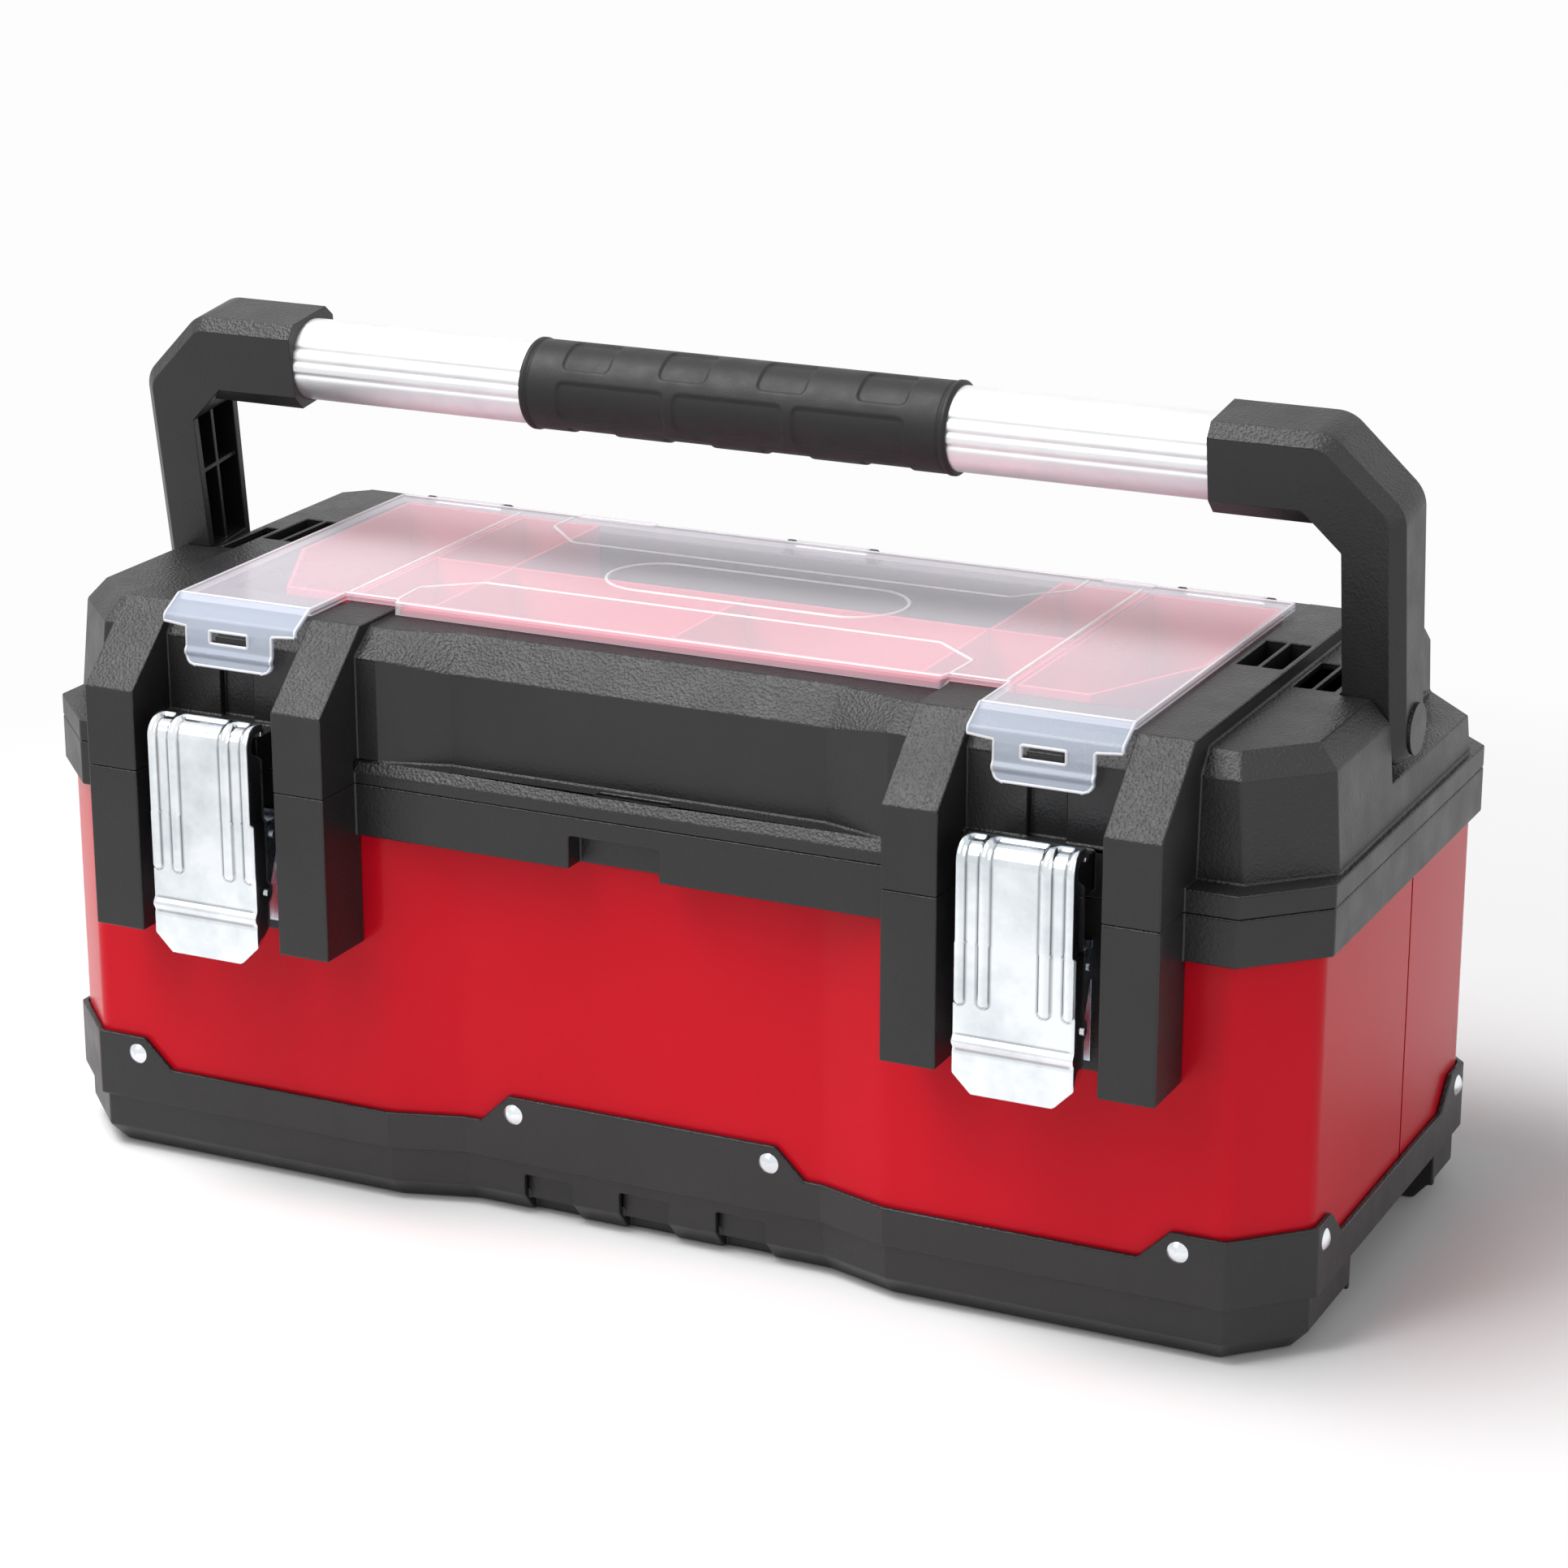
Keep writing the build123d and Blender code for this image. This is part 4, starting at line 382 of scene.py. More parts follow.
def round_edges(obj, width, holed):
    """Rounds the edges of a CAD mesh by modifiers. A piece without holed faces is cleared of flat cuts first."""
    weld = obj.modifiers.new("weld", "WELD")
    weld.merge_threshold = 0.00001
    if not holed:
        flat = obj.modifiers.new("flat", "DECIMATE")
        flat.decimate_type = "DISSOLVE"
        flat.angle_limit = math.radians(0.8)
    bevel = obj.modifiers.new("round", "BEVEL")
    bevel.width = width
    bevel.segments = 3
    bevel.limit_method = "ANGLE"
    bevel.angle_limit = math.radians(28.0)
    bevel.miter_outer = "MITER_ARC"
    bevel.harden_normals = True
    bevel.use_clamp_overlap = not holed
    bevel.loop_slide = False


def dress(materials):
    """Gives every CAD node its material and the moulded ones their rounded edges."""
    slots = {part["node"]: part["material_slot"] for part in frame["record"]["subparts"]}
    for name, obj in nodes.items():
        obj.data.materials.clear()
        obj.data.materials.append(materials[slots[name]])
    for widths in (HOLED_EDGES, PLAIN_EDGES):
        for name, width in widths.items():
            round_edges(nodes[name], width * MM, widths is HOLED_EDGES)


# ---------------------------------------------------------------- mesh helpers
def add_piece(name, verts, faces, materials, slot, body, replaces=(), sharp=35.0, look=None):
    """A new mesh piece that rides on a CAD body, smooth but for edges sharper than the angle given."""
    mesh = bpy.data.meshes.new(name)
    mesh.from_pydata([tuple(v) for v in verts], [], faces)
    work = bmesh.new()
    work.from_mesh(mesh)
    bmesh.ops.remove_doubles(work, verts=work.verts, dist=1e-7)
    bmesh.ops.recalc_face_normals(work, faces=work.faces)
    work.to_mesh(mesh)
    work.free()
    mesh.materials.append(materials[look or slot])
    mesh.shade_smooth()
    mesh.set_sharp_from_angle(angle=math.radians(sharp))
    obj = bpy.data.objects.new(name, mesh)
    bpy.context.scene.collection.objects.link(obj)
    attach(obj, body)
    if replaces:
        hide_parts(*replaces)
    return obj


def grid_faces(rows, columns, closed=False):
    """Quads of a grid of points given row by row; closed joins each row's last point to its first."""
    faces = []
    for i in range(rows - 1):
        for j in range(columns if closed else columns - 1):
            k = (j + 1) % columns
            faces.append((i * columns + j, i * columns + k, (i + 1) * columns + k, (i + 1) * columns + j))
    return faces


def prism_faces(count):
    """Both ends and the sides of a prism whose points are one end's ring and then the other's."""
    faces = [tuple(range(count)), tuple(range(count, 2 * count))]
    return faces + [(i, (i + 1) % count, (i + 1) % count + count, i + count) for i in range(count)]


def smooth_step(value, low, high):
    t = min(1.0, max(0.0, (value - low) / (high - low)))
    return t * t * (3.0 - 2.0 * t)


def corner_arc(before, corner, after, radius, count=4, step=None):
    """Arc in place of a plan corner, in count steps or in steps that turn by no more than step."""
    corner = Vector(corner)
    a = (Vector(before) - corner).normalized()
    b = (Vector(after) - corner).normalized()
    half = a.angle(b) / 2
    run = radius / math.tan(half)
    centre = corner + (a + b).normalized() * (radius / math.sin(half))
    start, end = corner + a * run - centre, corner + b * run - centre
    turn = math.pi - 2 * half
    if step:
        count = max(3, int(turn / step) + 1)
    arc = []
    for i in range(count + 1):
        t = i / count
        arm = start * (math.sin((1 - t) * turn) / math.sin(turn)) + end * (math.sin(t * turn) / math.sin(turn))
        arc.append(tuple(centre + arm))
    return arc


def rounded_path(points, radii, step=0.14):
    """Open plan path whose inner corners become arcs of the radii given."""
    path = [points[0]]
    for before, corner, after, radius in zip(points, points[1:], points[2:], radii):
        path += corner_arc(before, corner, after, radius, step=step)
    path.append(points[-1])
    return path


def rounded_ring(points, radius):
    """Closed plan ring with every corner rounded."""
    ring = []
    for i, corner in enumerate(points):
        ring += corner_arc(points[i - 1], corner, points[(i + 1) % len(points)], radius)
    return ring


def offset_path(path, distance):
    """The path moved to its left by distance."""
    moved = []
    for i, point in enumerate(path):
        before = Vector(path[max(i - 1, 0)])
        after = Vector(path[min(i + 1, len(path) - 1)])
        along = (after - before).normalized()
        moved.append((point[0] - along.y * distance, point[1] + along.x * distance))
    return moved


# ---------------------------------------------------------------- steel tub
SHEET = 1.2                 # thickness of the steel
CORNER_CUT = 25.72          # leg of the cut at each corner of the plan
CORNER_BEND = 10            # outer bend radius there
DENT_DEPTH = 9.5
DENT_EDGE = 111             # where the dent of the front starts, either side of the middle
DENT_FLOOR = 80             # where its flat floor starts
DENT_BEND = 26
SEAM = 0.5                  # each sheet stops this far short of its CAD edge at the seam


def add_tub_sheets(materials):
    """The painted sheets, bent round the corners and the dent with real bend radii."""
    cut, seam = CORNER_CUT * MM, SEAM * MM
    low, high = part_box("tub_front_sheet")
    dent_y = low.y + DENT_DEPTH * MM
    front = [(low.x, high.y - seam), (low.x, low.y + cut), (low.x + cut, low.y)]
    front += [(-DENT_EDGE * MM, low.y), (-DENT_FLOOR * MM, dent_y), (DENT_FLOOR * MM, dent_y), (DENT_EDGE * MM, low.y)]
    front += [(high.x - cut, low.y), (high.x, low.y + cut), (high.x, high.y - seam)]
    bends = [CORNER_BEND] * 2 + [DENT_BEND] * 4 + [CORNER_BEND] * 2
    add_sheet("tub_front_panel", front, bends, low.z, high.z, materials, "tub_front_sheet")
    low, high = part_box("tub_rear_sheet")
    rear = [(high.x, low.y + seam), (high.x, high.y - cut), (high.x - cut, high.y)]
    rear += [(low.x + cut, high.y), (low.x, high.y - cut), (low.x, low.y + seam)]
    add_sheet("tub_rear_panel", rear, [CORNER_BEND] * 4, low.z, high.z, materials, "tub_rear_sheet")


def add_sheet(name, points, bends, low, high, materials, node):
    """One folded sheet from its outer plan path in metres, with a bend radius in mm at each corner."""
    outer = rounded_path(points, [bend * MM for bend in bends])
    inner = offset_path(outer, SHEET * MM)
    verts = []
    for a, b in zip(outer, inner):
        verts += [(a[0], a[1], low), (a[0], a[1], high), (b[0], b[1], high), (b[0], b[1], low)]
    faces = grid_faces(len(outer), 4, closed=True)
    last = 4 * (len(outer) - 1)
    faces += [(0, 1, 2, 3), (last + 3, last + 2, last + 1, last)]
    add_piece(name, verts, faces, materials, "red_paint", "case", (node,))


# ---------------------------------------------------------------- latch levers
LEVER_Y = -149.5            # outer face of the flat plate
LEVER_LOW = 107.0           # lower end of its lip
LEVER_CURL = 198.0          # height at which the flat plate starts to curl over
CURL_R = 7.0
LEVER_SHEET = 1.1           # thickness of the steel
LEVER_STEP = 0.6            # length of a row of the flat plate
FLAT_RUN = 92               # distance along the profile that ends on the flat plate
LEVER_HALF = 24.5           # half width of the plate
LIP_HALF = 17.0             # half width of the lip's lower end
LEVER_SHOULDER = 0.9        # the plate is this much narrower on each side above its shoulders
LEVER_SHOULDER_Z = (166.0, 167.2)           # heights between which it narrows
LEVER_RIBS = ((12.1, 2.3), (21.9, 2.2))     # each side's pressed ribs: middle and half width
RIB_END = 37.0              # the ribs start this far along the profile
RIB_RISE = 1.55
RIB_SLOPE = 1.5             # width of a rib's sloping side
CURL_BAND = 101.8           # the curl stands proud from here on
BEAD_RUN = 20.0             # place of the bead across the plate
BEAD_HALF = 3.0
BEAD_RISE = 1.5
LIP_RISE = 0.5
EDGE_BEND = 1.2             # bend radius between plate and side flange
FLANGE_LEAST = 0.9          # depth of the side flange at the lip and round the curl
FLANGE_MORE = 7.6           # and how much deeper it is between
EAR_Z = 136.0               # height, radius and depth of the ear at the lever's pin
EAR_R = 4.6
EAR_DEPTH = 8.0


def lever_profile():
    """Side view of the lever's outer surface, from its lip up to its hooked tip: (y, z, distance along)."""
    rows_flat = int((LEVER_CURL - LEVER_LOW) / LEVER_STEP) + 1
    points = [(LEVER_Y, LEVER_LOW + LEVER_STEP * i) for i in range(rows_flat)]
    for i in range(1, 19):
        turn = math.radians(90.0 * i / 18)
        points.append((LEVER_Y + CURL_R - CURL_R * math.cos(turn), LEVER_CURL + CURL_R * math.sin(turn)))
    # The short level top, the tip's round bend and its straight end.
    points += [(-141.6, 205.0), (-140.6, 205.0), (-139.9, 205.0)]
    for i in range(1, 7):
        turn = math.radians(90.0 * i / 6)
        points.append((-139.9 + 1.9 * math.sin(turn), 203.1 + 1.9 * math.cos(turn)))
    points += [(-138.0, 202.2), (-138.0, 201.2)]
    rows = []
    run = 0.0
    for i, (y, z) in enumerate(points):
        if i:
            run += math.hypot(y - points[i - 1][0], z - points[i - 1][1])
        rows.append((y, z, run))
    return rows


def lever_height(x, run):
    """How far the pressed ribs, the band round the curl and the bead stand proud."""
    best = 9.0      # distance to the nearest rib or band, below 0 within it
    for middle, half in LEVER_RIBS:
        end = max(RIB_END - run, 0.0)
        best = min(best, math.hypot(abs(x) - middle, end) - half)
    band = CURL_BAND - run
    gap = max(0.0, 1.6 - abs(best - band)) / 1.6
    best = min(best, band) - gap * gap * 0.4
    height = RIB_RISE * math.sin(math.pi / 2 * min(1.0, max(0.0, -best / RIB_SLOPE)))
    away = abs(run - BEAD_RUN) / BEAD_HALF
    if away < 1.0:
        height += BEAD_RISE * math.cos(away * math.pi / 2) ** 1.2
    return height + LIP_RISE * (1.0 - smooth_step(run, 15.5, 18.0))


def lever_half(z):
    """Half width of the plate: cut corners below, and narrower above its shoulders."""
    if z < LEVER_LOW + LEVER_HALF - LIP_HALF:
        return LIP_HALF + (z - LEVER_LOW)
    return LEVER_HALF - LEVER_SHOULDER * smooth_step(z, *LEVER_SHOULDER_Z)


def lever_side(z):
    """Depth of the side flange, with a round ear at the lever's pin."""
    depth = FLANGE_LEAST + FLANGE_MORE * smooth_step(z, 115.0, 122.0) * (1.0 - smooth_step(z, 191.0, 197.0))
    reach = EAR_R ** 2 - (z - EAR_Z) ** 2
    return max(depth, EAR_DEPTH + math.sqrt(reach) - EDGE_BEND) if reach > 0 else depth


def lever_row(half, depth):
    """One row of the lever, from flange to flange over its bends: (x, distance back from the plate's face)."""
    across, bend_steps, flange_steps = 62, 4, 5
    turns = [math.radians(90 * k / bend_steps) for k in range(1, bend_steps)]
    side = [(half - EDGE_BEND * (1 - math.sin(turn)), EDGE_BEND * (1 - math.cos(turn))) for turn in turns]
    side += [(half, EDGE_BEND + depth * k / flange_steps) for k in range(1, flange_steps + 1)]
    plate = [((i / across * 2 - 1) * (half - EDGE_BEND), 0.0) for i in range(across + 1)]
    return [(-x, back) for x, back in reversed(side)] + plate + side


def add_lever(name, side, materials):
    """The lever as one thin pressed plate with its flanges."""
    rows = lever_profile()
    verts = []
    for i, (y, z, run) in enumerate(rows):
        y_next, z_next, _ = rows[min(i + 1, len(rows) - 1)]
        y_last, z_last, _ = rows[max(i - 1, 0)]
        along = Vector((0, y_next - y_last, z_next - z_last)).normalized()
        out = Vector((0, -along.z, along.y))
        half = lever_half(z if run < FLAT_RUN else LEVER_CURL)
        row = lever_row(half, lever_side(z) if run < FLAT_RUN else FLANGE_LEAST)
        for x, back in row:
            if back < EDGE_BEND:
                rise = lever_height(x, run)
            else:
                rise = lever_height(half, run) * max(0.0, 1.0 - (back - EDGE_BEND))
            place = Vector((x, y, z)) + out * (rise - back)
            verts.append((place + Vector((side * BAY, 0, 0))) * MM)
    faces = grid_faces(len(rows), len(row))
    lever = add_piece("lever_plate_" + name, verts, faces, materials, "bright_steel", "latch_" + name + "_lever",
                      ("latch_lever_" + name,), sharp=50.0)
    shell = lever.modifiers.new("sheet", "SOLIDIFY")
    shell.thickness = LEVER_SHEET * MM
    shell.offset = -1.0
    shell.use_even_offset = False


# ---------------------------------------------------------------- rubber grip and tube
GRIP_R = 18.4
COLLAR_R = 18.9             # the grip's end collars
GRIP_BORE = 16.85
PAD_DEPTH = 0.8
PAD_CORNER = 3.0
# The grip's recessed pads, three at the front and rear and four at the top and bottom: middle and half length along
# the tube, middle and half angle round it.
GRIP_PADS = [(c, 24.0, a, 26.0) for c in (-52.5, 0.0, 52.5) for a in (-8.0, 172.0)]
GRIP_PADS += [(c, 10.5, a, 28.0) for c in (-65.0, -21.5, 22.0, 65.5) for a in (62.0, -78.0)]
GROOVES = (24.8, 6.5, -12.4, 155.2, 173.5, 192.4)   # angles of the tube's grooves
GROOVE_DEPTH = 0.8
GROOVE_HALF = 3.3           # half width, in degrees
TUBE_WALL = 1.6


def on_tube(centre, x, radius, angle):
    """Place on a cylinder round the tube; angle 0 faces the front, 90 is the top."""
    turn = math.radians(angle)
    return (x * MM, centre.y - radius * MM * math.cos(turn), centre.z + radius * MM * math.sin(turn))


def degrees_away(angle, middle):
    return (angle - middle + 180) % 360 - 180


def pad_depth(x, angle, radius):
    """How deep in a recessed pad a place of the grip is: 0 outside, 1 on a pad's floor."""
    depth = 0.0
    for middle, half, middle_angle, half_angle in GRIP_PADS:
        dx = abs(x - middle) - half + PAD_CORNER
        dy = math.radians(abs(degrees_away(angle, middle_angle)) - half_angle) * radius + PAD_CORNER
        away = math.hypot(max(dx, 0), max(dy, 0)) + min(max(dx, dy), 0) - PAD_CORNER
        depth = max(depth, 1.0 - smooth_step(away, -0.5, 0.25))
    return depth


def add_grip(materials):
    low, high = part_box("handle_grip")
    centre = (low + high) / 2
    reach = high.x / MM
    ends = [0.35, 0.8, 1.4, 2.2, 2.9, 3.2, 3.5, 4.0]    # rows of the collar, from the grip's end
    inset, count = 4.6, 300
    xs = [-reach, -reach] + [-reach + end for end in ends]
    xs += [-reach + inset + (2 * reach - 2 * inset) * i / count for i in range(count + 1)]
    xs += [reach - end for end in reversed(ends)] + [reach, reach]
    ring = 160
    verts = []
    for i, x in enumerate(xs):
        edge = reach - abs(x)
        for j in range(ring):
            angle = 360.0 * j / ring
            radius = COLLAR_R - 0.9 * (1 - smooth_step(edge, 0.0, 0.9)) ** 2
            if edge > 2.5:
                radius = GRIP_R - 0.35 * (1 - smooth_step(edge, 3.3, 4.2))
                radius -= PAD_DEPTH * pad_depth(x, angle, GRIP_R)
            if i in (0, len(xs) - 1):
                radius = GRIP_BORE
            verts.append(on_tube(centre, x, radius, angle))
    faces = grid_faces(len(xs), ring, closed=True)
    start = len(verts)
    verts += [on_tube(centre, x, GRIP_BORE, 360.0 * j / ring) for x in (reach, -reach) for j in range(ring)]
    last = (len(xs) - 1) * ring
    for j in range(ring):
        k = (j + 1) % ring
        faces.append((last + j, last + k, start + k, start + j))
        faces.append((start + j, start + k, start + ring + k, start + ring + j))
        faces.append((start + ring + j, start + ring + k, k, j))
    add_piece("rubber_grip", verts, faces, materials, "black_rubber", "handle", ("handle_grip",), sharp=60.0)


def add_tube(materials):
    """Handle tube with three shallow grooves along its front and three along its rear."""
    low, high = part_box("handle_tube")
    centre = (low + high) / 2
    reach = high.x / MM
    radius = (high.z - low.z) / 2 / MM - 0.02   # just inside the CAD's tube
    ring = 240
    section = []
    for j in range(ring):
        angle = 360.0 * j / ring
        depth = 0.0
        for groove in GROOVES:
            depth += GROOVE_DEPTH * math.exp(-(degrees_away(angle, groove) / GROOVE_HALF) ** 2)
        section.append((radius - depth, angle))
    rows = [(-reach, False), (reach, False), (reach, True), (-reach, True)]
    verts = []
    for x, inside in rows:
        verts += [on_tube(centre, x, radius - TUBE_WALL if inside else r, angle) for r, angle in section]
    faces = []
    for i in range(len(rows)):
        a, b = i * ring, (i + 1) % len(rows) * ring
        faces += [(a + j, b + j, b + (j + 1) % ring, a + (j + 1) % ring) for j in range(ring)]
    add_piece("grooved_tube", verts, faces, materials, "satin_aluminium", "handle", ("handle_tube",), sharp=60.0)


# ---------------------------------------------------------------- clear cover
COVER_TOP = 247.4
PLATE_LOW = 245.9           # underside of the plate
SKIRT_LOW = 244.45          # lower edge of the wall under the plate's rim
SKIRT_FRONT_LOW = 242.3     # and of its deeper part along the middle of the front
COVER_HALF = 207.0
COVER_REAR = 67.0
COVER_FRONT = -84.0
MIDDLE_HALF = 119.6         # the middle of the front stands out this far either side
MIDDLE_FRONT = -88.6
TONGUE_IN = 144.7           # inner side of each tongue
TONGUE_FRONT = -111.5       # where the tongues leave the plate
TONGUE_SHEET = 1.4
TAB_FACE_Y = -124.25        # face of the snap tab round its window
TAB_HALF = 20.4
SHOULDER_Z = 238.4
TAB_SHOULDER_R = 1.8
TAB_CORNER_Z = 226.4
TAB_CORNER_R = 4.5
WINDOW = (8.6, 231.9, 236.5)    # half width, lower and upper edge of a tab's window
BESIDE_WINDOW = 12          # steps across a tongue on either side of its window
IN_WINDOW = 10              # and within it
RIB_FOOT = COVER_TOP - 0.1  # beads start this deep in the plate
KNUCKLE_R = 3.4
KNUCKLE_Y = 71.0
KNUCKLE_Z = 243.6
KNUCKLE_HALF = 16.5
BUMPS = (("left", -117.0, -80.0), ("right", 125.0, 148.0))     # name and both ends, at the cover's rear edge
BUMP_FRONT = 61.5
BUMP_REAR = 66.6
BIN_RIM_REAR = -79.0
BIN_RIM_LOW = 242.05
BIN_RIM_HIGH = 244.6


def add_plate(name, ring, low, high, edge, materials, slot, body, replaces=()):
    """Flat plate from a closed plan ring, its edges rounded by edge."""
    verts = [(x * MM, y * MM, z * MM) for z in (low, high) for x, y in ring]
    plate = add_piece(name, verts, prism_faces(len(ring)), materials, slot, body, replaces)
    bevel = plate.modifiers.new("round", "BEVEL")
    bevel.width = edge * MM
    bevel.segments = 2
    bevel.limit_method = "ANGLE"
    bevel.angle_limit = math.radians(60)


def bead(path, width, height, closed=False, ups=None):
    """Half-round bead along a path, rising along +Z or along each point's own direction."""
    across = 7
    verts = []
    count = len(path)
    for i, point in enumerate(path):
        before = path[i - 1] if closed or i else path[0]
        after = path[(i + 1) % count] if closed or i < count - 1 else path[-1]
        up = Vector(ups[i]) if ups else Vector((0, 0, 1))
        side = (Vector(after) - Vector(before)).cross(up).normalized()
        for k in range(across):
            turn = math.pi * k / (across - 1)
            verts.append((Vector(point) + side * (math.cos(turn) * width / 2) + up * (math.sin(turn) * height)) * MM)
    faces = []
    for i in range(count if closed else count - 1):
        for k in range(across - 1):
            a, b = i * across + k, (i + 1) % count * across + k
            faces.append((a, a + 1, b + 1, b))
    return verts, faces


def add_beads(name, beads, materials):
    """Beads joined into one raised piece of the cover, in the painted white highlight of its edges."""
    verts, faces = [], []
    for more_verts, more_faces in beads:
        faces += [tuple(v + len(verts) for v in face) for face in more_faces]
        verts += more_verts
    add_piece(name, verts, faces, materials, "clear_plastic", "cover", sharp=60.0, look="clear_edge_highlight")


def on_top(points, radius=0.0):
    """A path on the cover's top, its inner corners rounded if asked."""
    if radius:
        points = rounded_path(points, [radius] * (len(points) - 2), 0.3)
    return [(x, y, RIB_FOOT) for x, y in points]


def cover_corners(inset=0.0):
    """Plan of the plate with its two tongues, moved inwards by inset."""
    right = [(MIDDLE_HALF - inset, MIDDLE_FRONT + inset), (MIDDLE_HALF + 1.6 - inset, COVER_FRONT + inset)]
    right += [(TONGUE_IN + inset, COVER_FRONT + inset), (TONGUE_IN + inset, TONGUE_FRONT + inset)]
    right += [(COVER_HALF - inset, TONGUE_FRONT + inset), (COVER_HALF - inset, COVER_REAR - inset)]
    return right + [(-x, y) for x, y in reversed(right)]


def tongue_profile():
    """Side view (y, z) of a tongue from the plate's edge down to the tab's foot, with round bends."""
    corners = [(TONGUE_FRONT + 0.4, COVER_TOP), (-112.4, COVER_TOP), (-123.4, 241.3), (-124.2, 236.6), (-124.4, 229.4)]
    corners += [(-125.6, 227.9), (-125.6, 226.5), (-124.7, 225.2), (-125.6, 221.9)]
    points = rounded_path(corners, [2.0, 2.0, 1.5, 1.2, 0.6, 0.6, 0.9], 0.25)
    rows = [points[0]]
    for point in points[1:]:
        last = rows[-1]
        count = max(1, round(math.dist(last, point) / 0.9))
        rows += [(last[0] + (point[0] - last[0]) * k / count, last[1] + (point[1] - last[1]) * k / count)
                 for k in range(1, count + 1)]
    return rows


def tongue_edges(z, side):
    """The two edges of a tongue at a height: wide above its shoulders, then the tab with its round corners."""
    middle = side * BAY
    inner, outer = sorted((side * TONGUE_IN, side * COVER_HALF))
    if z > SHOULDER_Z:
        return inner, outer
    half = TAB_HALF
    if z > SHOULDER_Z - TAB_SHOULDER_R:
        rise = z - SHOULDER_Z + TAB_SHOULDER_R
        half += TAB_SHOULDER_R - math.sqrt(max(0.0, TAB_SHOULDER_R ** 2 - rise ** 2))
    if z < TAB_CORNER_Z:
        drop = min(TAB_CORNER_R, TAB_CORNER_Z - z)
        half += math.sqrt(max(0.0, TAB_CORNER_R ** 2 - drop ** 2)) - TAB_CORNER_R
    return middle - half, middle + half


def across_row(low, high, middle):
    """Places across a tongue: even steps outside the window and inside it, so that its edges stay straight."""
    half = WINDOW[0]
    marks = [low, middle - half, middle + half, high]
    places = []
    for a, b, count in zip(marks, marks[1:], (BESIDE_WINDOW, IN_WINDOW, BESIDE_WINDOW)):
        places += [a + (b - a) * k / count for k in range(count)]
    return places + [high]


def add_tongue(name, side, materials):
    """Sloping lip and snap tab of one tongue, with the tab's window left open and beads of painted white highlight
    along its edges.
    """
    middle = side * BAY
    half, low, high = WINDOW
    grid = [[Vector((x, y, z)) for x in across_row(*tongue_edges(z, side), middle)] for y, z in tongue_profile()]
    wide = len(grid[0])
    faces = []
    for i, (row, below) in enumerate(zip(grid, grid[1:])):
        height = (row[0].z + below[0].z) / 2
        for k in range(wide - 1):
            if BESIDE_WINDOW <= k < BESIDE_WINDOW + IN_WINDOW and low < height < high:
                continue
            faces.append((i * wide + k, i * wide + k + 1, (i + 1) * wide + k + 1, (i + 1) * wide + k))
    verts = [place * MM for row in grid for place in row]
    tongue = add_piece("cover_tongue_" + name, verts, faces, materials, "clear_plastic", "cover", sharp=60.0,
                       look="clear_lip")
    sheet = tongue.modifiers.new("sheet", "SOLIDIFY")
    sheet.thickness = TONGUE_SHEET * MM
    sheet.offset = -1.0 if tongue.data.polygons[0].normal.z > 0 else 1.0
    ups = []
    for i in range(len(grid)):
        along = grid[min(i + 1, len(grid) - 1)][0] - grid[max(i - 1, 0)][0]
        up = Vector((0, along.z, -along.y)).normalized()
        ups.append(Vector((0, -abs(up.y), abs(up.z))))
    # Beads along the cut edges, along the foot and round the window, whitened as painted highlight of those edges.
    beads = []
    for k, step in ((0, 1), (wide - 1, -1)):
        edge = [row[k] + Vector((0.5 * step, 0, 0)) for row in grid]
        beads.append(bead(edge, 1.1, 0.35, ups=ups))
    foot = [place + Vector((0, 0, 0.4)) for place in grid[-1]]
    beads.append(bead(foot, 1.1, 0.35, ups=[ups[-1]] * wide))
    border = [(middle - half - 0.4, low - 0.4), (middle + half + 0.4, low - 0.4)]
    border += [(middle + half + 0.4, high + 0.4), (middle - half - 0.4, high + 0.4)]
    ring = [(x, TAB_FACE_Y, z) for x, z in rounded_ring(border, 0.9)]
    beads.append(bead(ring, 1.3, 0.6, closed=True, ups=[(0, -1, 0)] * len(ring)))
    add_beads("cover_tongue_edges_" + name, beads, materials)


def add_cover_skirt(materials):
    """Thin wall under the plate's edge, deeper along the middle of its front."""
    ring = rounded_ring(cover_corners(), 1.0)
    inner = rounded_ring(cover_corners(1.3), 0.6)
    verts = []
    for (x, y), (u, v) in zip(ring, inner):
        low = SKIRT_FRONT_LOW if y < COVER_FRONT - 1 and abs(x) < MIDDLE_HALF + 1 else SKIRT_LOW
        verts += [(x * MM, y * MM, low * MM), (x * MM, y * MM, PLATE_LOW * MM)]
        verts += [(u * MM, v * MM, PLATE_LOW * MM), (u * MM, v * MM, low * MM)]
    count = len(ring)
    faces = []
    for i in range(count):
        a, b = 4 * i, 4 * ((i + 1) % count)
        # Outer, inner and lower side; the upper one lies against the plate and is left out.
        faces += [(a + k, b + k, b + (k + 1) % 4, a + (k + 1) % 4) for k in (0, 2, 3)]
    add_piece("cover_skirt", verts, faces, materials, "clear_plastic", "cover", sharp=50.0)


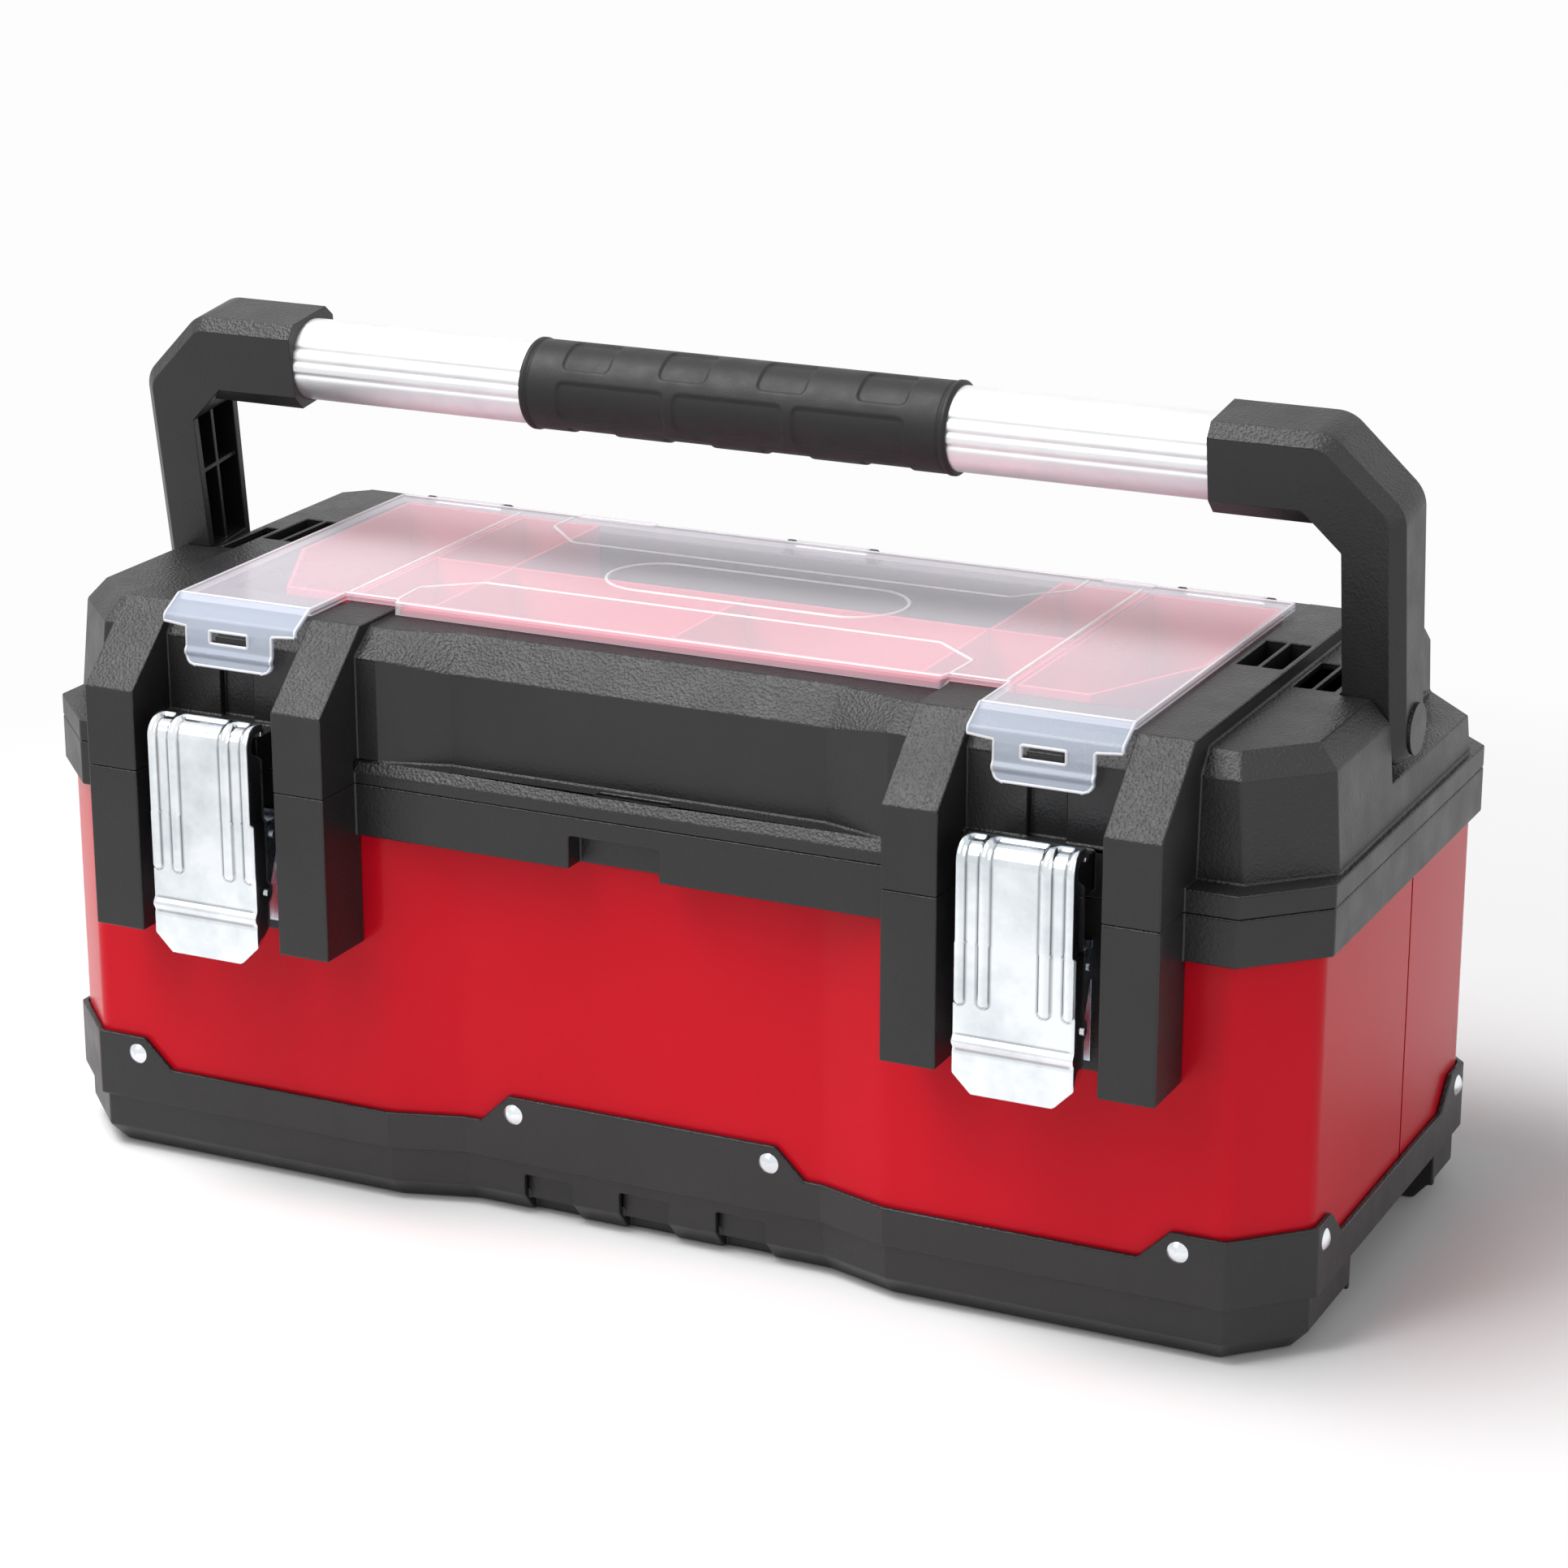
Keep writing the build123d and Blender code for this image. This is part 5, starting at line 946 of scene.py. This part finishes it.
def add_cover_knuckles(materials):
    """Three hinge knuckles on the pins at the back, with the web that joins each to the plate."""
    profile = [(COVER_REAR - 0.4, PLATE_LOW), (COVER_REAR - 0.4, KNUCKLE_Z + KNUCKLE_R)]
    for k in range(17):
        turn = math.radians(90 - 270 * k / 16)
        profile.append((KNUCKLE_Y + KNUCKLE_R * math.cos(turn), KNUCKLE_Z + KNUCKLE_R * math.sin(turn)))
    profile.append((KNUCKLE_Y - KNUCKLE_R, PLATE_LOW))
    for name, x in (("left", -BAY), ("middle", 0.0), ("right", BAY)):
        verts = [((x + end) * MM, a * MM, b * MM) for end in (-KNUCKLE_HALF, KNUCKLE_HALF) for a, b in profile]
        add_piece("cover_knuckle_" + name, verts, prism_faces(len(profile)), materials, "clear_plastic", "cover",
                  sharp=40.0)


def stadium(x, y, half_length, radius):
    """Closed plan ring of an oval with straight sides."""
    steps = 20
    ring = []
    for end in (1, -1):
        for k in range(steps + 1):
            turn = math.radians(-90 + 180 * k / steps)
            along = half_length - radius + radius * math.cos(turn)
            ring.append((x + end * along, y + end * radius * math.sin(turn)))
    return ring


def add_cover_ribs(materials):
    """Beads in painted white highlight: round the plate's edge, the two long ribs, the front and rear frame and the
    oval.
    """
    beads = [bead(on_top(rounded_ring(cover_corners(0.75), 0.8)), 1.3, 0.45, closed=True)]
    for _, side in SIDES:
        beads.append(bead(on_top([(side * 144.0, COVER_FRONT + 1), (side * 144.0, 59.0)]), 2.0, 0.6))
    front = [(-121.0, COVER_FRONT + 0.5), (-122.0, -64.0), (-101.0, -46.6), (101.0, -46.6), (122.0, -64.0)]
    front.append((121.0, COVER_FRONT + 0.5))
    rear = [(-119.5, 62.0), (-119.5, 45.5), (-100.0, 25.5), (100.0, 25.5), (119.5, 45.5), (119.5, 62.0)]
    for path in (front, rear):
        beads.append(bead(on_top(path, 3.0), 1.7, 0.6))
    beads.append(bead(on_top(stadium(3.2, -9.1, 65.9, 21.7)), 1.8, 0.7, closed=True))
    add_beads("cover_ribs", beads, materials)


def add_cover(materials):
    """The clear cover in place of its plain CAD solid."""
    add_plate("cover_plate", rounded_ring(cover_corners(), 1.0), PLATE_LOW, COVER_TOP, 0.25, materials,
              "clear_plastic", "cover", ("clear_cover",))
    add_cover_skirt(materials)
    add_cover_knuckles(materials)
    for name, side in SIDES:
        add_tongue(name, side, materials)
    add_cover_ribs(materials)
    for name, low, high in BUMPS:
        ring = rounded_ring([(low, BUMP_FRONT), (high, BUMP_FRONT), (high, BUMP_REAR), (low, BUMP_REAR)], 1.2)
        add_plate("cover_bump_" + name, ring, COVER_TOP - 0.05, COVER_TOP + 0.9, 0.4, materials, "clear_plastic",
                  "cover")


def add_bin_rim(materials):
    """Red flange of the bins, which lies on the deck under the front of the cover."""
    half, front = MIDDLE_HALF - 1.9, MIDDLE_FRONT + 1.6
    ring = rounded_ring([(-half, front), (half, front), (half, BIN_RIM_REAR), (-half, BIN_RIM_REAR)], 0.8)
    add_plate("bin_front_rim", ring, BIN_RIM_LOW, BIN_RIM_HIGH, 0.3, materials, "red_plastic", "lid")


add_camera()
add_world()
add_floor()
add_softbox("key", (-0.9, -1.9, 1.7), (0.0, 0.0, 0.15), (1.3, 1.3), 9.0)
add_softbox("fill", (2.0, -0.9, 1.1), (0.1, 0.0, 0.15), (1.2, 1.6), 6.0)
add_softbox("top", (-0.62, -0.6, 1.86), (0.0, 0.0, 0.2), (1.4, 1.0), 38.0)
looks = make_materials()
dress(looks)
add_tub_sheets(looks)
for name, side in SIDES:
    add_lever(name, side, looks)
add_grip(looks)
add_tube(looks)
add_cover(looks)
add_bin_rim(looks)

bpy.context.scene.view_settings.view_transform = "Standard"
